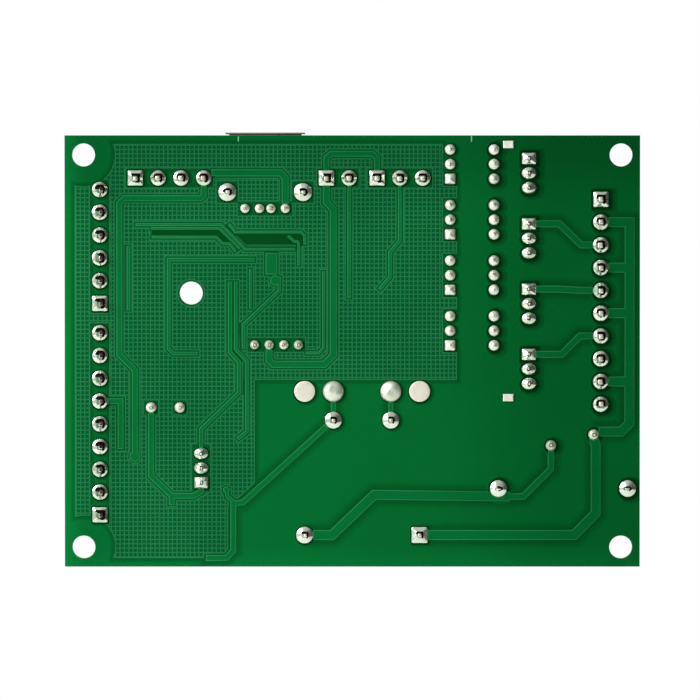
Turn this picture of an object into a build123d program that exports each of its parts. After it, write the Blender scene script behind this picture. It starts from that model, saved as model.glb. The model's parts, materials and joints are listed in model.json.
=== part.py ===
"""Stove control board: a bare two-layer circuit board seen from its solder side, with the
through-hole parts that stand on the other face.

Frame: millimetres. The board stands upright, as it hangs on its four spacers. +X is to the
right and +Z is up, looking at the solder side. The solder side faces -Y and lies at y = 0,
and the parts stand towards +Y. The origin is the middle of the four corner holes.
"""

import os
from math import atan, cos, degrees, radians, sin, sqrt

from build123d import *

# ---------------------------------------------------------------- board
board_width = 100.0
board_height = 75.0
board_thickness = 1.6
copper = 0.07                    # track thickness, two-ounce foil
mount_hole = 4.0                 # diameter of the corner holes
mount_inset_x = 3.3              # hole centre to the side edge
mount_inset_z = 3.4              # hole centre to the top or bottom edge
middle_hole = 4.0                # diameter of the fifth, inner hole
middle_hole_at = (22.0, 27.4)    # from the left and top edges
slot_gap = 0.1                   # clearance all round a heat-sink tab in its slot

left_edge = -board_width / 2
right_edge = board_width / 2
top_edge = board_height / 2
bottom_edge = -board_height / 2

# ---------------------------------------------------------------- solder
firm = (0.75, 0.8)               # height of the solder, and of the lead's tip above it
fine = (0.75, 0.0)               # a fine lead is covered by its solder
tall = (1.5, 0.45)               # solder drawn well up the lead
joint_top = 0.64                 # width left at the top, as a share of the pad
facets = 8                       # sides of a round pad
small_facets = 6                 # and of a small one
small_pad = 2.0
dome = 3.7                       # solder cap on the spare row
dome_height = 0.95
dome_shoulder = 0.57             # height where the cap starts to flatten
dome_tapers = (35, 60)           # below and above the shoulder, degrees
bare_pad = 3.8
bare_pad_thickness = 0.1
bare_pad_facets = 12

# ---------------------------------------------------------------- 3.96 mm wafer headers
wafer_pitch = 3.96
wafer_post = 1.14                # square post
wafer_base_depth = 8.0
wafer_base_height = 3.2
wafer_wall = 1.3                 # friction-lock wall
wafer_wall_height = 10.8
wafer_ramp = (0.7, 1.2, 2.6)     # how far the lock stands out, and its crest and foot from the top
wafer_post_height = 13.2         # top of a post above the board
wafer_end = 1.9                  # housing past the outer post's centre
wafer_pad = 2.75
top_header_z = top_edge - 7.4
upper_left_count = 6             # posts in each header
lower_left_count = 9
top_left_count = 4
two_way_count = 2
three_way_count = 3
mains_count = 10

# ---------------------------------------------------------------- USB-A receptacle
usb_overhang = 0.5               # flange past the board's top edge
usb_width = 12.6
usb_height = 5.7
usb_wall = 0.3
usb_depth = 13.6
usb_flange = 0.65                # flange past the shell all round
usb_tab_spacing = 13.14
usb_tab_z = top_edge - 9.85
usb_contact_z = top_edge - 12.7
usb_contacts = (-3.5, -1.0, 1.0, 3.5)
usb_tongue = 1.8
usb_tongue_front = 1.6           # front of the tongue behind the mouth
usb_tongue_rise = 0.5            # tongue above the shell's middle
usb_tongue_side = 0.5            # room each side of it
usb_strip = (1.0, 0.2)           # contact strip under the tongue, wide and thick
usb_lead_slot = (8.6, 1.4)       # cut in the shell for the contacts' leads
usb_block_lap = 0.9              # moulding in front of the leads
usb_tab_height = 1.8

# ---------------------------------------------------------------- 2.54 mm programming header
program_pitch = 2.54
program_pins = 4
program_x = left_edge + 33.0
program_post = 0.64
program_post_height = 8.5
program_strip_height = 2.5

# ---------------------------------------------------------------- triac drivers, six-pin DIP
opto_count = 4
opto_row = 7.62                  # between its two rows
opto_pitch = 2.54
opto_top = top_edge - 5.0
opto_spacing = 9.65
opto_body = (6.4, 8.5, 3.4)      # across the rows, along the rows, tall
opto_standoff = 0.5
opto_draft = 0.25                # case narrower at its top and bottom
opto_notch = (1.4, 0.6, 0.3)     # across, along, deep
opto_lead = (0.3, 0.6)

# ---------------------------------------------------------------- TO-220 parts
to220_width = 10.1
to220_case = 3.2                 # thickness of the case in front of its tab
to220_tab = 1.3
to220_tab_height = 15.7
to220_tab_bare = 6.5             # tab that shows above the moulded case
to220_hole = 3.6
to220_hole_drop = 2.8            # hole centre below the top of the tab
to220_pitch = 2.54
to220_lead = (0.5, 0.8)
to220_lead_inset = 2.6           # lead plane to the back of the tab
to220_lift = 4.0                 # bottom of the case above the board
to220_case_corner = 0.6
to220_tab_corner = 1.2

triac_count = 4
triac_top = top_edge - 6.55
triac_spacing = 11.35
regulator_z = bottom_edge + 17.16

# ---------------------------------------------------------------- heat sink and its screws
sink_plate = 2.0
sink_height = 27.0
sink_margin = 1.2                # plate past its two solder tabs
sink_tab_reach = 0.3             # tab past the solder face
sink_tab_spacing = 44.0
sink_tab = (1.7, 1.2)
sink_fin = 1.0
sink_fin_reach = 5.5
sink_low_fins = (11.6, 8.0)      # above the board
sink_high_fins = (2.0, 5.6)      # below the top
screw = 3.0
screw_head = 5.5                 # across the flats
screw_head_height = 2.0
screw_reach = 0.5                # past the plate

# ---------------------------------------------------------------- mains transformer
transformer_size = (32.5, 27.5, 23.8)
transformer_row = 20.0           # primary row to secondary row
transformer_low = bottom_edge + 5.5
transformer_primary = 20.0       # primary pin spacing
transformer_secondary = 10.0
transformer_other_row = 25.0     # spare row for a larger transformer
transformer_wall = 1.2
transformer_pin = 0.9
transformer_corner = 2.0
transformer_edge = 0.8
transformer_lift = 0.6           # resin above the board

# ---------------------------------------------------------------- fuse
fuse_pitch = 22.5
fuse_diameter = 5.2
fuse_length = 20.0
fuse_cap = 5.4
fuse_axis = 6.6                  # above the board
fuse_base = (25.6, 8.4, 2.6)
fuse_end_wall = 1.2
fuse_wall_height = 9.0
fuse_clip = 0.4                  # sheet thickness
fuse_clip_width = 5.0
fuse_clip_inset = 2.2            # from the solder pin to the middle of the clip
fuse_clip_top = 1.8              # straight sides reach this far above the fuse's axis
fuse_clip_flare = (0.4, 0.8, 1.0, 1.2)   # two steps out, two steps up
fuse_glass_step = 0.2            # glass smaller than its caps

# ---------------------------------------------------------------- varistor, capacitor
varistor_from_header = 1.25      # right-hand lead, left of the mains header's posts
varistor_pitch = (7.4, 1.9)
varistor_diameter = 14.0
varistor_thickness = 4.6
varistor_lift = 2.5
wire = 0.8
capacitor_z = bottom_edge + 27.7
capacitor_pitch = 5.0
capacitor_diameter = 10.0
capacitor_length = 20.0
capacitor_lift = 0.4

# ---------------------------------------------------------------- surface-mounted parts
controller_at = (left_edge + 36.2, top_edge - 26.2)
controller_size = (7.0, 0.9)     # square leadless body, tall
controller_edge = 0.25
crystal_at = (left_edge + 28.2, top_edge - 26.2)
crystal_size = (2.5, 5.0, 1.2)
crystal_corner = 0.5
rectifier_z = bottom_edge + 26.5
rectifier_size = (4.7, 6.4, 2.6)
rectifier_edge = 0.5
chip = (1.25, 2.0, 0.55)
chip_from_opto = (1.7, 1.5)      # left of the row and below the middle

# ---------------------------------------------------------------- copper
clearance = 0.35                 # bare strip beside a track that crosses the ground plane
pad_clearance = 0.3
plane_inset = 1.5                # ground plane inside the top and bottom edges
plane_inset_left = 1.8
plane_corner = 5.5               # cut back round a corner hole
plane_past_opto = 1.2            # edge past the optos' left row
plane_past_dome = 0.1            # and above the domes and bare pads
plane_to_primary = 8.65          # and left of the primary pins


# ---------------------------------------------------------------- room between the parts
upper_gaps = (2.1, 0.3, 1.82, 1.8, 1.04, 0.555, 1.33, 6.6, 2.8)   # along the top, from the left
lower_gaps = (11.7, 1.35, 3.1, 5.9, 0.55)     # from the lower left header to the right edge
capacitor_gaps = (2.4, 5.15)                  # to the header and to the rectifier
left_gaps = (7.12, 1.3, 7.5)                  # up the left side
right_gaps = (9.4, 1.95, 2.01, 9.2)           # up the right side
program_gaps = (4.93, 5.43)                   # to the bare pads and to the controller


def header_length(count):
    return (count - 1) * wafer_pitch + 2 * wafer_end


def spread(low, high, sizes, gaps):
    """The near side of each part in a row. The parts keep their sizes, and the room that is
    left between low and high is shared in proportion to the gaps."""
    share = (high - low - sum(sizes)) / sum(gaps)
    sides = []
    at = low
    for size, gap in zip(sizes, gaps):
        at += gap * share
        sides.append(at)
        at += size
    return sides


upper_sizes = [
    wafer_base_depth,
    header_length(top_left_count),
    usb_width + 2 * usb_flange,
    header_length(two_way_count),
    header_length(three_way_count),
    chip_from_opto[0] + chip[0] / 2 + opto_row + opto_lead[0] / 2,
    sink_plate + to220_tab + to220_case,
    wafer_base_depth,
]
upper = spread(left_edge, right_edge, upper_sizes, upper_gaps)
left_header_x = upper[0] + wafer_base_depth / 2
top_header_x = [side + wafer_end for side in (upper[1], upper[3], upper[4])]
usb_x = upper[2] + usb_width / 2 + usb_flange
opto_x = upper[5] + chip_from_opto[0] + chip[0] / 2     # the row with the square pads
triac_x = upper[6] + sink_plate + to220_lead_inset
right_header_x = upper[7] + wafer_base_depth / 2

left_header_side = left_header_x + wafer_base_depth / 2
lower_sizes = [
    to220_case + to220_tab, rectifier_size[0], transformer_size[0], fuse_base[0],
]
lower = spread(left_header_side, right_edge, lower_sizes, lower_gaps)
regulator_x = lower[0] + to220_case + to220_tab - to220_lead_inset
rectifier_x = lower[1] + rectifier_size[0] / 2
transformer_x = lower[2] + transformer_size[0] / 2
fuse_right = lower[3] + (fuse_base[0] + fuse_pitch) / 2
beside_capacitor = spread(left_header_side, lower[1], [capacitor_diameter], capacitor_gaps)
capacitor_x = beside_capacitor[0] + (capacitor_diameter - capacitor_pitch) / 2

left_side = spread(
    bottom_edge, top_edge,
    [header_length(lower_left_count), header_length(upper_left_count)], left_gaps,
)
lower_left_top = left_side[0] + header_length(lower_left_count) - wafer_end
upper_left_top = left_side[1] + header_length(upper_left_count) - wafer_end
right_sizes = [fuse_base[1], varistor_thickness, header_length(mains_count)]
right_side = spread(bottom_edge, top_edge, right_sizes, right_gaps)
fuse_z = right_side[0] + fuse_base[1] / 2
varistor_middle_z = right_side[1] + varistor_thickness / 2
mains_top = right_side[2] + header_length(mains_count) - wafer_end

spare_row = transformer_low + transformer_other_row
middle_room = (spare_row + bare_pad / 2, controller_at[1] - controller_size[0] / 2)
program_side = spread(*middle_room, [program_pitch], program_gaps)
program_z = program_side[0] + program_pitch / 2


def from_top_left(x, z):
    """A point x in from the left edge and z down from the top edge."""
    return (left_edge + x, top_edge - z)


def from_bottom_left(x, z):
    return (left_edge + x, bottom_edge + z)


def from_bottom_right(x, z):
    return (right_edge - x, bottom_edge + z)


def shifted(point, x, z):
    return (point[0] + x, point[1] + z)


def column(x, z, count, pitch):
    """Points going down from (x, z)."""
    return [(x, z - i * pitch) for i in range(count)]


def row(x, z, count, pitch):
    """Points going right from (x, z)."""
    return [(x + i * pitch, z) for i in range(count)]


# ---------------------------------------------------------------- where the leads come through
j1 = column(left_header_x, upper_left_top, upper_left_count, wafer_pitch)
j2 = column(left_header_x, lower_left_top, lower_left_count, wafer_pitch)
top_counts = (top_left_count, two_way_count, three_way_count)
j3, j4, j5 = [
    row(x, top_header_z, count, wafer_pitch) for x, count in zip(top_header_x, top_counts)
]
j6 = column(right_header_x, mains_top, mains_count, wafer_pitch)
usb_tabs = [(usb_x - usb_tab_spacing / 2, usb_tab_z), (usb_x + usb_tab_spacing / 2, usb_tab_z)]
usb_pins = [(usb_x + x, usb_contact_z) for x in usb_contacts]
program = row(program_x, program_z, program_pins, program_pitch)
opto_centres = [opto_top - i * opto_spacing for i in range(opto_count)]
opto_left = [column(opto_x, z + opto_pitch, 3, opto_pitch) for z in opto_centres]
opto_right = [column(opto_x + opto_row, z + opto_pitch, 3, opto_pitch) for z in opto_centres]
triac_centres = [triac_top - i * triac_spacing for i in range(triac_count)]
triacs = [column(triac_x, z + to220_pitch, 3, to220_pitch) for z in triac_centres]
regulator = column(regulator_x, regulator_z + to220_pitch, 3, to220_pitch)
sink_back = triac_x - to220_lead_inset          # face that the tabs are screwed to
sink_z = (triac_centres[0] + triac_centres[-1]) / 2
sink_tabs = [(sink_back - sink_plate / 2, sink_z + s * sink_tab_spacing / 2) for s in (1, -1)]
primary = [(transformer_x + s * transformer_primary / 2, transformer_low) for s in (-1, 1)]
secondary = [
    (transformer_x + s * transformer_secondary / 2, transformer_low + transformer_row)
    for s in (-1, 1)
]
domes = [(pin[0], spare_row) for pin in secondary]
bare_pads = [(pin[0], spare_row) for pin in primary]
fuse = [(fuse_right - fuse_pitch, fuse_z), (fuse_right, fuse_z)]
varistor_x = right_header_x - varistor_from_header
varistor = [
    (varistor_x - varistor_pitch[0], varistor_middle_z - varistor_pitch[1] / 2),
    (varistor_x, varistor_middle_z + varistor_pitch[1] / 2),
]
capacitor = row(capacitor_x, capacitor_z, 2, capacitor_pitch)
corner_holes = [
    (sx * (board_width / 2 - mount_inset_x), sz * (board_height / 2 - mount_inset_z))
    for sx in (-1, 1)
    for sz in (-1, 1)
]

# Each group: node, points, shape of pad, pad size (x, z), lead size (x, z), how it is soldered.
post = (wafer_post, wafer_post)
small_post = (program_post, program_post)
can_lead = (0.6, 0.6)
contact_lead = (0.5, 0.3)
tab_blade = (0.4, 1.6)
bobbin_pin = (transformer_pin, transformer_pin)
clip_blade = (1.2, fuse_clip)
round_wafer = [*j1[:-1], *j2[:-1], *j3[1:], *j4[1:], *j5[1:], *j6[1:]]
square_wafer = [j1[-1], j2[-1], j3[0], j4[0], j5[0], j6[0]]
opto_round = [p for o in opto_left for p in o[:2]] + [p for o in opto_right for p in o]
wafer_size = (wafer_pad, wafer_pad)
to220_pad = (2.6, 2.1)
tab_pad = 3.2
pin_pad = 1.65
can_pad = 1.9
opto_pad = 1.9
groups = [
    ("solder_header_joints", round_wafer, "round", wafer_size, post, firm),
    ("solder_header_joints", square_wafer, "square", wafer_size, post, firm),
    ("solder_usb_joints", usb_tabs, "round", (tab_pad, tab_pad), tab_blade, firm),
    ("solder_usb_joints", usb_pins, "round", (pin_pad, pin_pad), contact_lead, fine),
    ("solder_small_joints", program, "round", (pin_pad, pin_pad), small_post, fine),
    ("solder_small_joints", capacitor, "round", (can_pad, can_pad), can_lead, fine),
    ("solder_small_joints", regulator[:2], "round", to220_pad, to220_lead, tall),
    ("solder_small_joints", regulator[2:], "square", to220_pad, to220_lead, tall),
    ("solder_power_joints", primary[:1], "round", (3.0, 3.0), bobbin_pin, firm),
    ("solder_power_joints", primary[1:], "square", (2.9, 2.9), bobbin_pin, firm),
    ("solder_power_joints", secondary, "round", (3.0, 3.0), bobbin_pin, firm),
    ("solder_power_joints", fuse, "round", (3.0, 3.0), clip_blade, firm),
    ("solder_power_joints", varistor, "round", (1.85, 1.85), (wire, wire), fine),
    ("solder_triac_joints", [p for t in triacs for p in t[1:]], "round", to220_pad, to220_lead,
     firm),
    ("solder_triac_joints", [t[0] for t in triacs], "square", to220_pad, to220_lead,
     firm),
    ("solder_opto_joints", opto_round, "round", (opto_pad, opto_pad), opto_lead, fine),
    ("solder_opto_joints", [o[2] for o in opto_left], "square", (opto_pad, opto_pad), opto_lead,
     fine),
]


# ---------------------------------------------------------------- drawing helpers
def polygon(points):
    return make_face(Polyline(*points, close=True))


def round_pad(width, height, sides=0):
    """A round pad drawn with a few flat sides, or an oval one where its two sizes differ."""
    count = sides or (facets if max(width, height) > small_pad else small_facets)
    turn = 180 / count
    grow = 1 / cos(radians(turn))
    points = []
    for i in range(count):
        angle = radians(turn + i * 360 / count)
        points.append((cos(angle) * grow * width / 2, sin(angle) * grow * height / 2))
    return polygon(points)


def pad_face(shape, size):
    return Rectangle(*size).face() if shape == "square" else round_pad(*size)


def band(points, width, extend=0.0):
    """The outline of a strip of even width along a path, with mitred corners."""
    path = [Vector(*p) for p in points]
    path[0] = path[0] - (path[1] - path[0]).normalized() * extend
    path[-1] = path[-1] + (path[-1] - path[-2]).normalized() * extend
    normals = []
    for here, there in zip(path, path[1:]):
        along = (there - here).normalized()
        normals.append(Vector(-along.Y, along.X))
    sides = []
    for before, after in zip([normals[0]] + normals, normals + [normals[-1]]):
        sides.append((before + after) * (width / 2 / (1 + before.dot(after))))
    left = [p + s for p, s in zip(path, sides)]
    right = [p - s for p, s in zip(path, sides)]
    return polygon([*left, *reversed(right)])


def stand(shape):
    """Turns what is drawn flat, solder side up, to the upright board."""
    return Plane.XZ.location * shape


def on_parts_face(x, z, along="x"):
    """A seat on the parts' face: its own z points away from the board, its own x runs right
    or up the board."""
    direction = (1, 0, 0) if along == "x" else (0, 0, 1)
    return Plane(origin=(x, board_thickness, z), x_dir=direction, z_dir=(0, 1, 0)).location


def block(x, y, z):
    """A box that stands on z = 0."""
    return Box(x, y, z, align=(Align.CENTER, Align.CENTER, Align.MIN))


def lead(size, top):
    """A straight lead that stands on the parts' face."""
    return block(size[0], size[1], top)


nodes = {}


def keep(name, *shapes):
    for shape in shapes:
        nodes.setdefault(name, []).extend(shape.solids())


# ---------------------------------------------------------------- board and copper
def make_board():
    """The laminate. Its plated lead holes are full of lead and solder, so it is solid there:
    a lead stands on the parts' face, and its cropped tip belongs to the joint opposite."""
    outline = Rectangle(board_width, board_height)
    holes = [Pos(*p) * Circle(mount_hole / 2) for p in corner_holes]
    holes.append(Pos(*from_top_left(*middle_hole_at)) * Circle(middle_hole / 2))
    slot = Rectangle(sink_tab[0] + 2 * slot_gap, sink_tab[1] + 2 * slot_gap)
    holes += [Pos(*p) * slot for p in sink_tabs]
    keep("circuit_board", stand(extrude(outline - holes, amount=-board_thickness)))


def pad_reach(point):
    """Half the width of the pad at a point, or nothing where a track ends free."""
    for _, points, _, pad, _, _ in groups:
        if point in points:
            return min(pad) / 2
    return dome / 2 if point in domes else 0.0


def signal_tracks():
    """Tracks that cross the ground plane: width, then the points."""
    a, b = from_top_left, from_bottom_left
    down = [regulator[0], (regulator_x, b(0, 23.9)[1])]
    return [
        (0.9, [j3[3], shifted(j3[3], 0, -3.0), shifted(j3[3], -0.5, -3.5), a(10.4, 10.9),
               a(9.5, 11.8), b(9.5, 36.9), b(12.2, 34.2), b(12.2, 19.2)]),
        (0.5, [a(11.1, 19.3), a(11.1, 30.3)]),
        (0.35, [a(12.4, 15.5), a(27.2, 15.5), a(31.4, 19.75), a(40.0, 19.75)]),
        (0.35, [a(15.1, 16.15), a(26.9, 16.15), a(30.4, 19.6)]),
        (0.35, [a(15.2, 17.65), a(26.3, 17.65), a(27.5, 18.75), a(28.7, 18.8), a(29.7, 20.1)]),
        (0.35, [a(28.6, 15.4), a(29.7, 16.8), a(41.1, 16.8), a(41.75, 17.4), a(41.75, 18.9)]),
        (0.35, [a(38.9, 17.5), a(39.9, 18.4), a(40.5, 18.4), a(40.7, 18.8), a(40.7, 22.5)]),
        (0.5, [a(33.0, 21.6), a(18.1, 21.6), a(18.1, 37.1), a(18.9, 37.9), a(23.1, 37.9)]),
        (1.9, [a(35.95, 20.5), a(35.95, 24.1)]),
        (0.5, [a(37.3, 24.6), a(37.3, 27.0), a(31.1, 32.9), a(31.1, 37.0)]),
        (0.35, [a(32.3, 23.3), a(32.3, 30.1)]),
        (0.6, [a(28.75, 25.5), b(28.75, 37.3), b(30.3, 35.6), b(30.3, 30.3), *reversed(down)]),
        (0.5, [a(29.75, 25.5), b(29.75, 37.9), b(31.7, 35.7), b(31.7, 23.5), b(30.1, 22.3)]),
        (1.1, [a(25.6, 6.5), a(37.5, 6.5), shifted(usb_pins[3], 0, 5.3), usb_pins[3]]),
        (0.9, [j4[0], shifted(j4[0], 0, 3.5), shifted(j4[0], 0.8, 4.2),
               shifted(j5[0], -0.8, 4.2), shifted(j5[0], 0, 3.5), j5[0]]),
        (1.1, [j4[0], shifted(j4[0], 0, -4.2), a(46.7, 12.9), shifted(program[3], 6.1, -1.8),
               shifted(program[3], 4.5, -3.4), shifted(program[1], 0.7, -3.4),
               shifted(program[1], 0, -2.7), program[1]]),
        (0.35, [a(45.0, 23.7), a(45.0, 36.9), a(44.2, 37.8), a(42.0, 37.8)]),
        (0.5, [j4[1], shifted(j4[1], 0, -20.8)]),
        (0.5, [j5[1], shifted(j5[1], 0, -10.9), shifted(j5[1], -1.7, -12.9),
               shifted(j5[1], -1.7, -17.2), shifted(j5[1], -3.5, -19.3)]),
        (0.9, [capacitor[0], (capacitor_x, regulator[2][1] + 1.2), shifted(regulator[2], -5.1, -2.3),
               shifted(regulator[2], -1.3, -2.3), shifted(regulator[2], 0, -1.5), regulator[2]]),
        (0.9, [shifted(regulator[2], -5.1, -2.1), shifted(regulator[2], -5.1, -3.8)]),
        (0.9, [j2[3], shifted(j2[3], 3.6, 0), shifted(j2[3], 3.6, -8.3)]),
        (0.9, [secondary[0], b(31.0, 11.2), b(29.3, 11.0), b(29.3, 2.8), b(28.1, 1.5),
               b(24.6, 1.5)]),
        (0.6, [b(29.5, 11.2), b(28.3, 12.2), b(28.1, 13.3)]),
    ]


def power_tracks():
    """Mains tracks on the bare half of the board."""
    b, c = from_bottom_left, from_bottom_right
    rail = right_edge - 1.8
    feed = (rail, j6[1][1])
    tracks = [
        (0.75, [domes[0], secondary[0]]),
        (0.75, [domes[1], secondary[1]]),
        (1.6, [primary[0], shifted(primary[0], 4.8, 0), shifted(primary[0], 12.1, 7.0),
               shifted(fuse[0], 2.0, -1.4)]),
        (1.0, [shifted(fuse[0], 1.6, -1.4), shifted(fuse[0], 4.3, -1.4),
               shifted(varistor[0], 0, -4.1), varistor[0]]),
        (1.6, [primary[1], c(11.4, 5.5), c(7.65, 9.3), shifted(varistor[1], 0.4, -2.0),
               shifted(varistor[1], 0, -0.4)]),
        (1.6, [shifted(varistor[1], 0.9, 0.5), shifted(varistor[1], 4.8, 0.5),
               (rail, varistor[1][1] + 1.9), feed, j6[1]]),
        (1.1, [triacs[1][0], shifted(triacs[1][0], 5.3, 0), shifted(j6[2], -3.4, 0), j6[2]]),
        (1.1, [triacs[2][0], shifted(triacs[2][0], 5.3, 0), shifted(j6[4], -3.4, 0), j6[4]]),
        (1.1, [triacs[3][0], shifted(triacs[3][0], 5.7, 0), shifted(j6[6], -3.6, 0), j6[6]]),
    ]
    for pin in (3, 5, 8):
        tracks.append((1.6, [(rail, j6[pin][1]), j6[pin]]))
    return tracks


def trimmed(points):
    """The same path, stopped where the pads at its ends begin."""
    path = [Vector(*p) for p in points]
    start = pad_reach(points[0])
    end = pad_reach(points[-1])
    path[0] = path[0] + (path[1] - path[0]).normalized() * start
    path[-1] = path[-1] + (path[-2] - path[-1]).normalized() * end
    return [(p.X, p.Y) for p in path]


def vias():
    """Ends of tracks that go through to the other face, covered by the mask: place and size."""
    a, b = from_top_left, from_bottom_left
    return [(b(12.2, 19.2), 1.7), (a(36.6, 25.2), 1.6), (b(28.1, 13.4), 1.0)]


def plane_outline():
    right = opto_x + plane_past_opto
    step = spare_row + max(dome, bare_pad) / 2 + plane_past_dome
    bottom = bottom_edge + plane_inset
    edge = primary[0][0] - plane_to_primary
    return polygon([
        (left_edge + plane_inset_left, top_edge - plane_inset),
        (right, top_edge - plane_inset),
        (right, step),
        (edge, step),
        (edge, bottom_edge + 14.6),
        (edge - 2.75, bottom_edge + 12.0),
        (edge - 4.65, bottom_edge + 10.4),
        (edge - 4.65, bottom),
        (left_edge + plane_inset_left, bottom),
    ])


def bare_windows():
    """Where the ground plane stops short of pads and of the controller's own tracks."""
    windows = []
    strips = [(points, wafer_pad) for points in (j1, j2, j3, j4, j5)]
    strips += [([p], tab_pad) for p in usb_tabs]
    strips += [([p], can_pad) for p in capacitor]
    strips += [(points, opto_pad) for points in (usb_pins, program, *opto_left)]
    strips.append((regulator, to220_pad[0]))
    for points, pad in strips:
        reach = pad / 2 + pad_clearance
        low = (min(p[0] for p in points) - reach, min(p[1] for p in points) - reach)
        high = (max(p[0] for p in points) + reach, max(p[1] for p in points) + reach)
        windows.append(polygon([low, (high[0], low[1]), high, (low[0], high[1])]))
    a = from_top_left
    windows.append(polygon([a(15.0, 16.2), a(27.0, 16.2), a(29.6, 18.8), a(27.5, 18.8),
                            a(26.4, 17.6), a(15.0, 17.6)]))
    windows.append(polygon([a(29.4, 16.9), a(41.7, 16.9), a(41.7, 19.0), a(40.4, 19.0),
                            a(31.5, 19.0)]))
    return windows


def make_copper():
    signal = signal_tracks()
    drawn = [band(trimmed(points), width) for width, points in signal + power_tracks()]
    under = [
        Pos(*p) * pad_face(shape, pad) for _, points, shape, pad, _, _ in groups for p in points
    ]
    under += [Pos(*p) * round_pad(dome, dome) for p in domes]
    under += [Pos(*p) * round_pad(bare_pad, bare_pad, bare_pad_facets) for p in bare_pads]
    drawn += [Pos(*at) * round_pad(size, size) for at, size in vias()]
    tracks = Sketch() + drawn - under
    keep("solder_side_tracks", stand(extrude(tracks, amount=copper)))
    holes = [
        band(trimmed(points), width + 2 * clearance, clearance) for width, points in signal
    ]
    rim = middle_hole + 2 * pad_clearance
    holes.append(Pos(*from_top_left(*middle_hole_at)) * round_pad(rim, rim, 16))
    holes += [Pos(*p) * Circle(plane_corner) for p in corner_holes if p[0] < 0]
    for at, size in vias():
        opening = size + 2 * pad_clearance
        holes.append(Pos(*at) * round_pad(opening, opening))
    plane = plane_outline() - (holes + bare_windows())
    keep("ground_plane", stand(extrude(plane, amount=copper)))


# ---------------------------------------------------------------- solder
def make_solder():
    for name, points, shape, pad, size, (height, tip) in groups:
        drawn_in = min(pad) / 2 * (1 - joint_top)
        cone = extrude(pad_face(shape, pad), amount=height, taper=degrees(atan(drawn_in / height)))
        if tip:
            cone += Pos(0, 0, height) * block(*size, tip)
        keep(name, *[stand(Pos(*p) * cone) for p in points])
    cap = extrude(round_pad(dome, dome), amount=dome_shoulder, taper=dome_tapers[0])
    crown = extrude(
        cap.faces().sort_by(Axis.Z)[-1], amount=dome_height - dome_shoulder, taper=dome_tapers[1]
    )
    keep("solder_power_joints", *[stand(Pos(*p) * (cap + crown)) for p in domes])
    disc = extrude(round_pad(bare_pad, bare_pad, bare_pad_facets), amount=bare_pad_thickness)
    keep("tinned_pads", *[stand(Pos(*p) * disc) for p in bare_pads])


# ---------------------------------------------------------------- connectors
def wafer_housing(count):
    """L-shaped moulding: a base with square holes and a friction-lock wall with a ramp."""
    length = (count - 1) * wafer_pitch + 2 * wafer_end
    half = wafer_base_depth / 2
    inner = half - wafer_wall
    out, crest, foot = wafer_ramp
    profile = Plane.YZ * Polygon(
        (-half, 0), (half, 0), (half, wafer_wall_height),
        (inner, wafer_wall_height),
        (inner - out, wafer_wall_height - crest),
        (inner, wafer_wall_height - foot),
        (inner, wafer_base_height), (-half, wafer_base_height),
        align=None,
    )
    body = extrude(profile, amount=length / 2, both=True)
    hole = block(wafer_post, wafer_post, wafer_base_height)
    middle = (count - 1) / 2
    return body - [Pos((i - middle) * wafer_pitch, 0, 0) * hole for i in range(count)]


def make_wafer(name, points, along, turn=0):
    count = len(points)
    centre = ((points[0][0] + points[-1][0]) / 2, (points[0][1] + points[-1][1]) / 2)
    seat = on_parts_face(*centre, along) * Rot(0, 0, turn)
    keep(name + "_housing", seat * wafer_housing(count))
    pin = lead(post, wafer_post_height)
    keep(name + "_posts", *[on_parts_face(*p) * pin for p in points])


def make_usb():
    """Folded shell with a flared mouth, the moulding inside it and four contacts."""
    seat = on_parts_face(usb_x, top_edge + usb_overhang)
    y = usb_depth / 2
    outer = Pos(0, y, 0) * block(usb_width, usb_depth, usb_height)
    inner_size = (usb_width - 2 * usb_wall, usb_depth - usb_wall, usb_height - 2 * usb_wall)
    inner = Pos(0, y - usb_wall / 2, usb_wall) * block(*inner_size)
    rim = Pos(0, usb_wall / 2, -usb_flange) * block(
        usb_width + 2 * usb_flange, usb_wall, usb_height + 2 * usb_flange
    )
    shell = outer + rim - inner
    tab_y = top_edge + usb_overhang - usb_tab_z
    tab_inner = usb_width / 2
    tab_outer = usb_tab_spacing / 2 + 0.2
    for side in (-1, 1):
        shell += Pos(side * (tab_inner + tab_outer) / 2, tab_y, 0) * block(
            tab_outer - tab_inner, tab_blade[1], usb_tab_height
        )
    contact_y = top_edge + usb_overhang - usb_contact_z
    shell -= Pos(0, contact_y, 0) * block(*usb_lead_slot, usb_wall)
    keep("usb_shell", seat * shell)
    back = usb_depth - usb_wall - contact_y + usb_block_lap
    block_y = usb_depth - usb_wall - back / 2
    moulding = Pos(0, block_y, usb_wall) * block(inner_size[0], back, inner_size[2])
    tongue_z = usb_height / 2 + usb_tongue_rise
    tongue_length = block_y - back / 2 - usb_tongue_front
    middle = usb_tongue_front + tongue_length / 2
    tongue = Pos(0, middle, tongue_z) * block(
        inner_size[0] - 2 * usb_tongue_side, tongue_length, usb_tongue
    )
    keep("usb_insulator", seat * (moulding + tongue))
    wide, thick = usb_strip
    strip = block(wide, tongue_length - 2 * thick, thick)
    pin = lead(contact_lead, usb_wall)
    for x in usb_contacts:
        placed = Pos(x, middle + thick, tongue_z - thick) * strip
        keep("usb_contacts", seat * placed, seat * (Pos(x, contact_y, 0) * pin))


def make_program_header():
    hole = block(*small_post, program_strip_height)
    length = program_pins * program_pitch
    places = [Pos((i + 0.5) * program_pitch - length / 2, 0, 0) for i in range(program_pins)]
    strip = block(length, program_pitch, program_strip_height)
    strip -= [place * hole for place in places]
    middle = (program[0][0] + program[-1][0]) / 2
    keep("program_header_strip", on_parts_face(middle, program_z) * strip)
    pin = lead(small_post, program_post_height)
    keep("program_header_pins", *[on_parts_face(*p) * pin for p in program])


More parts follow.
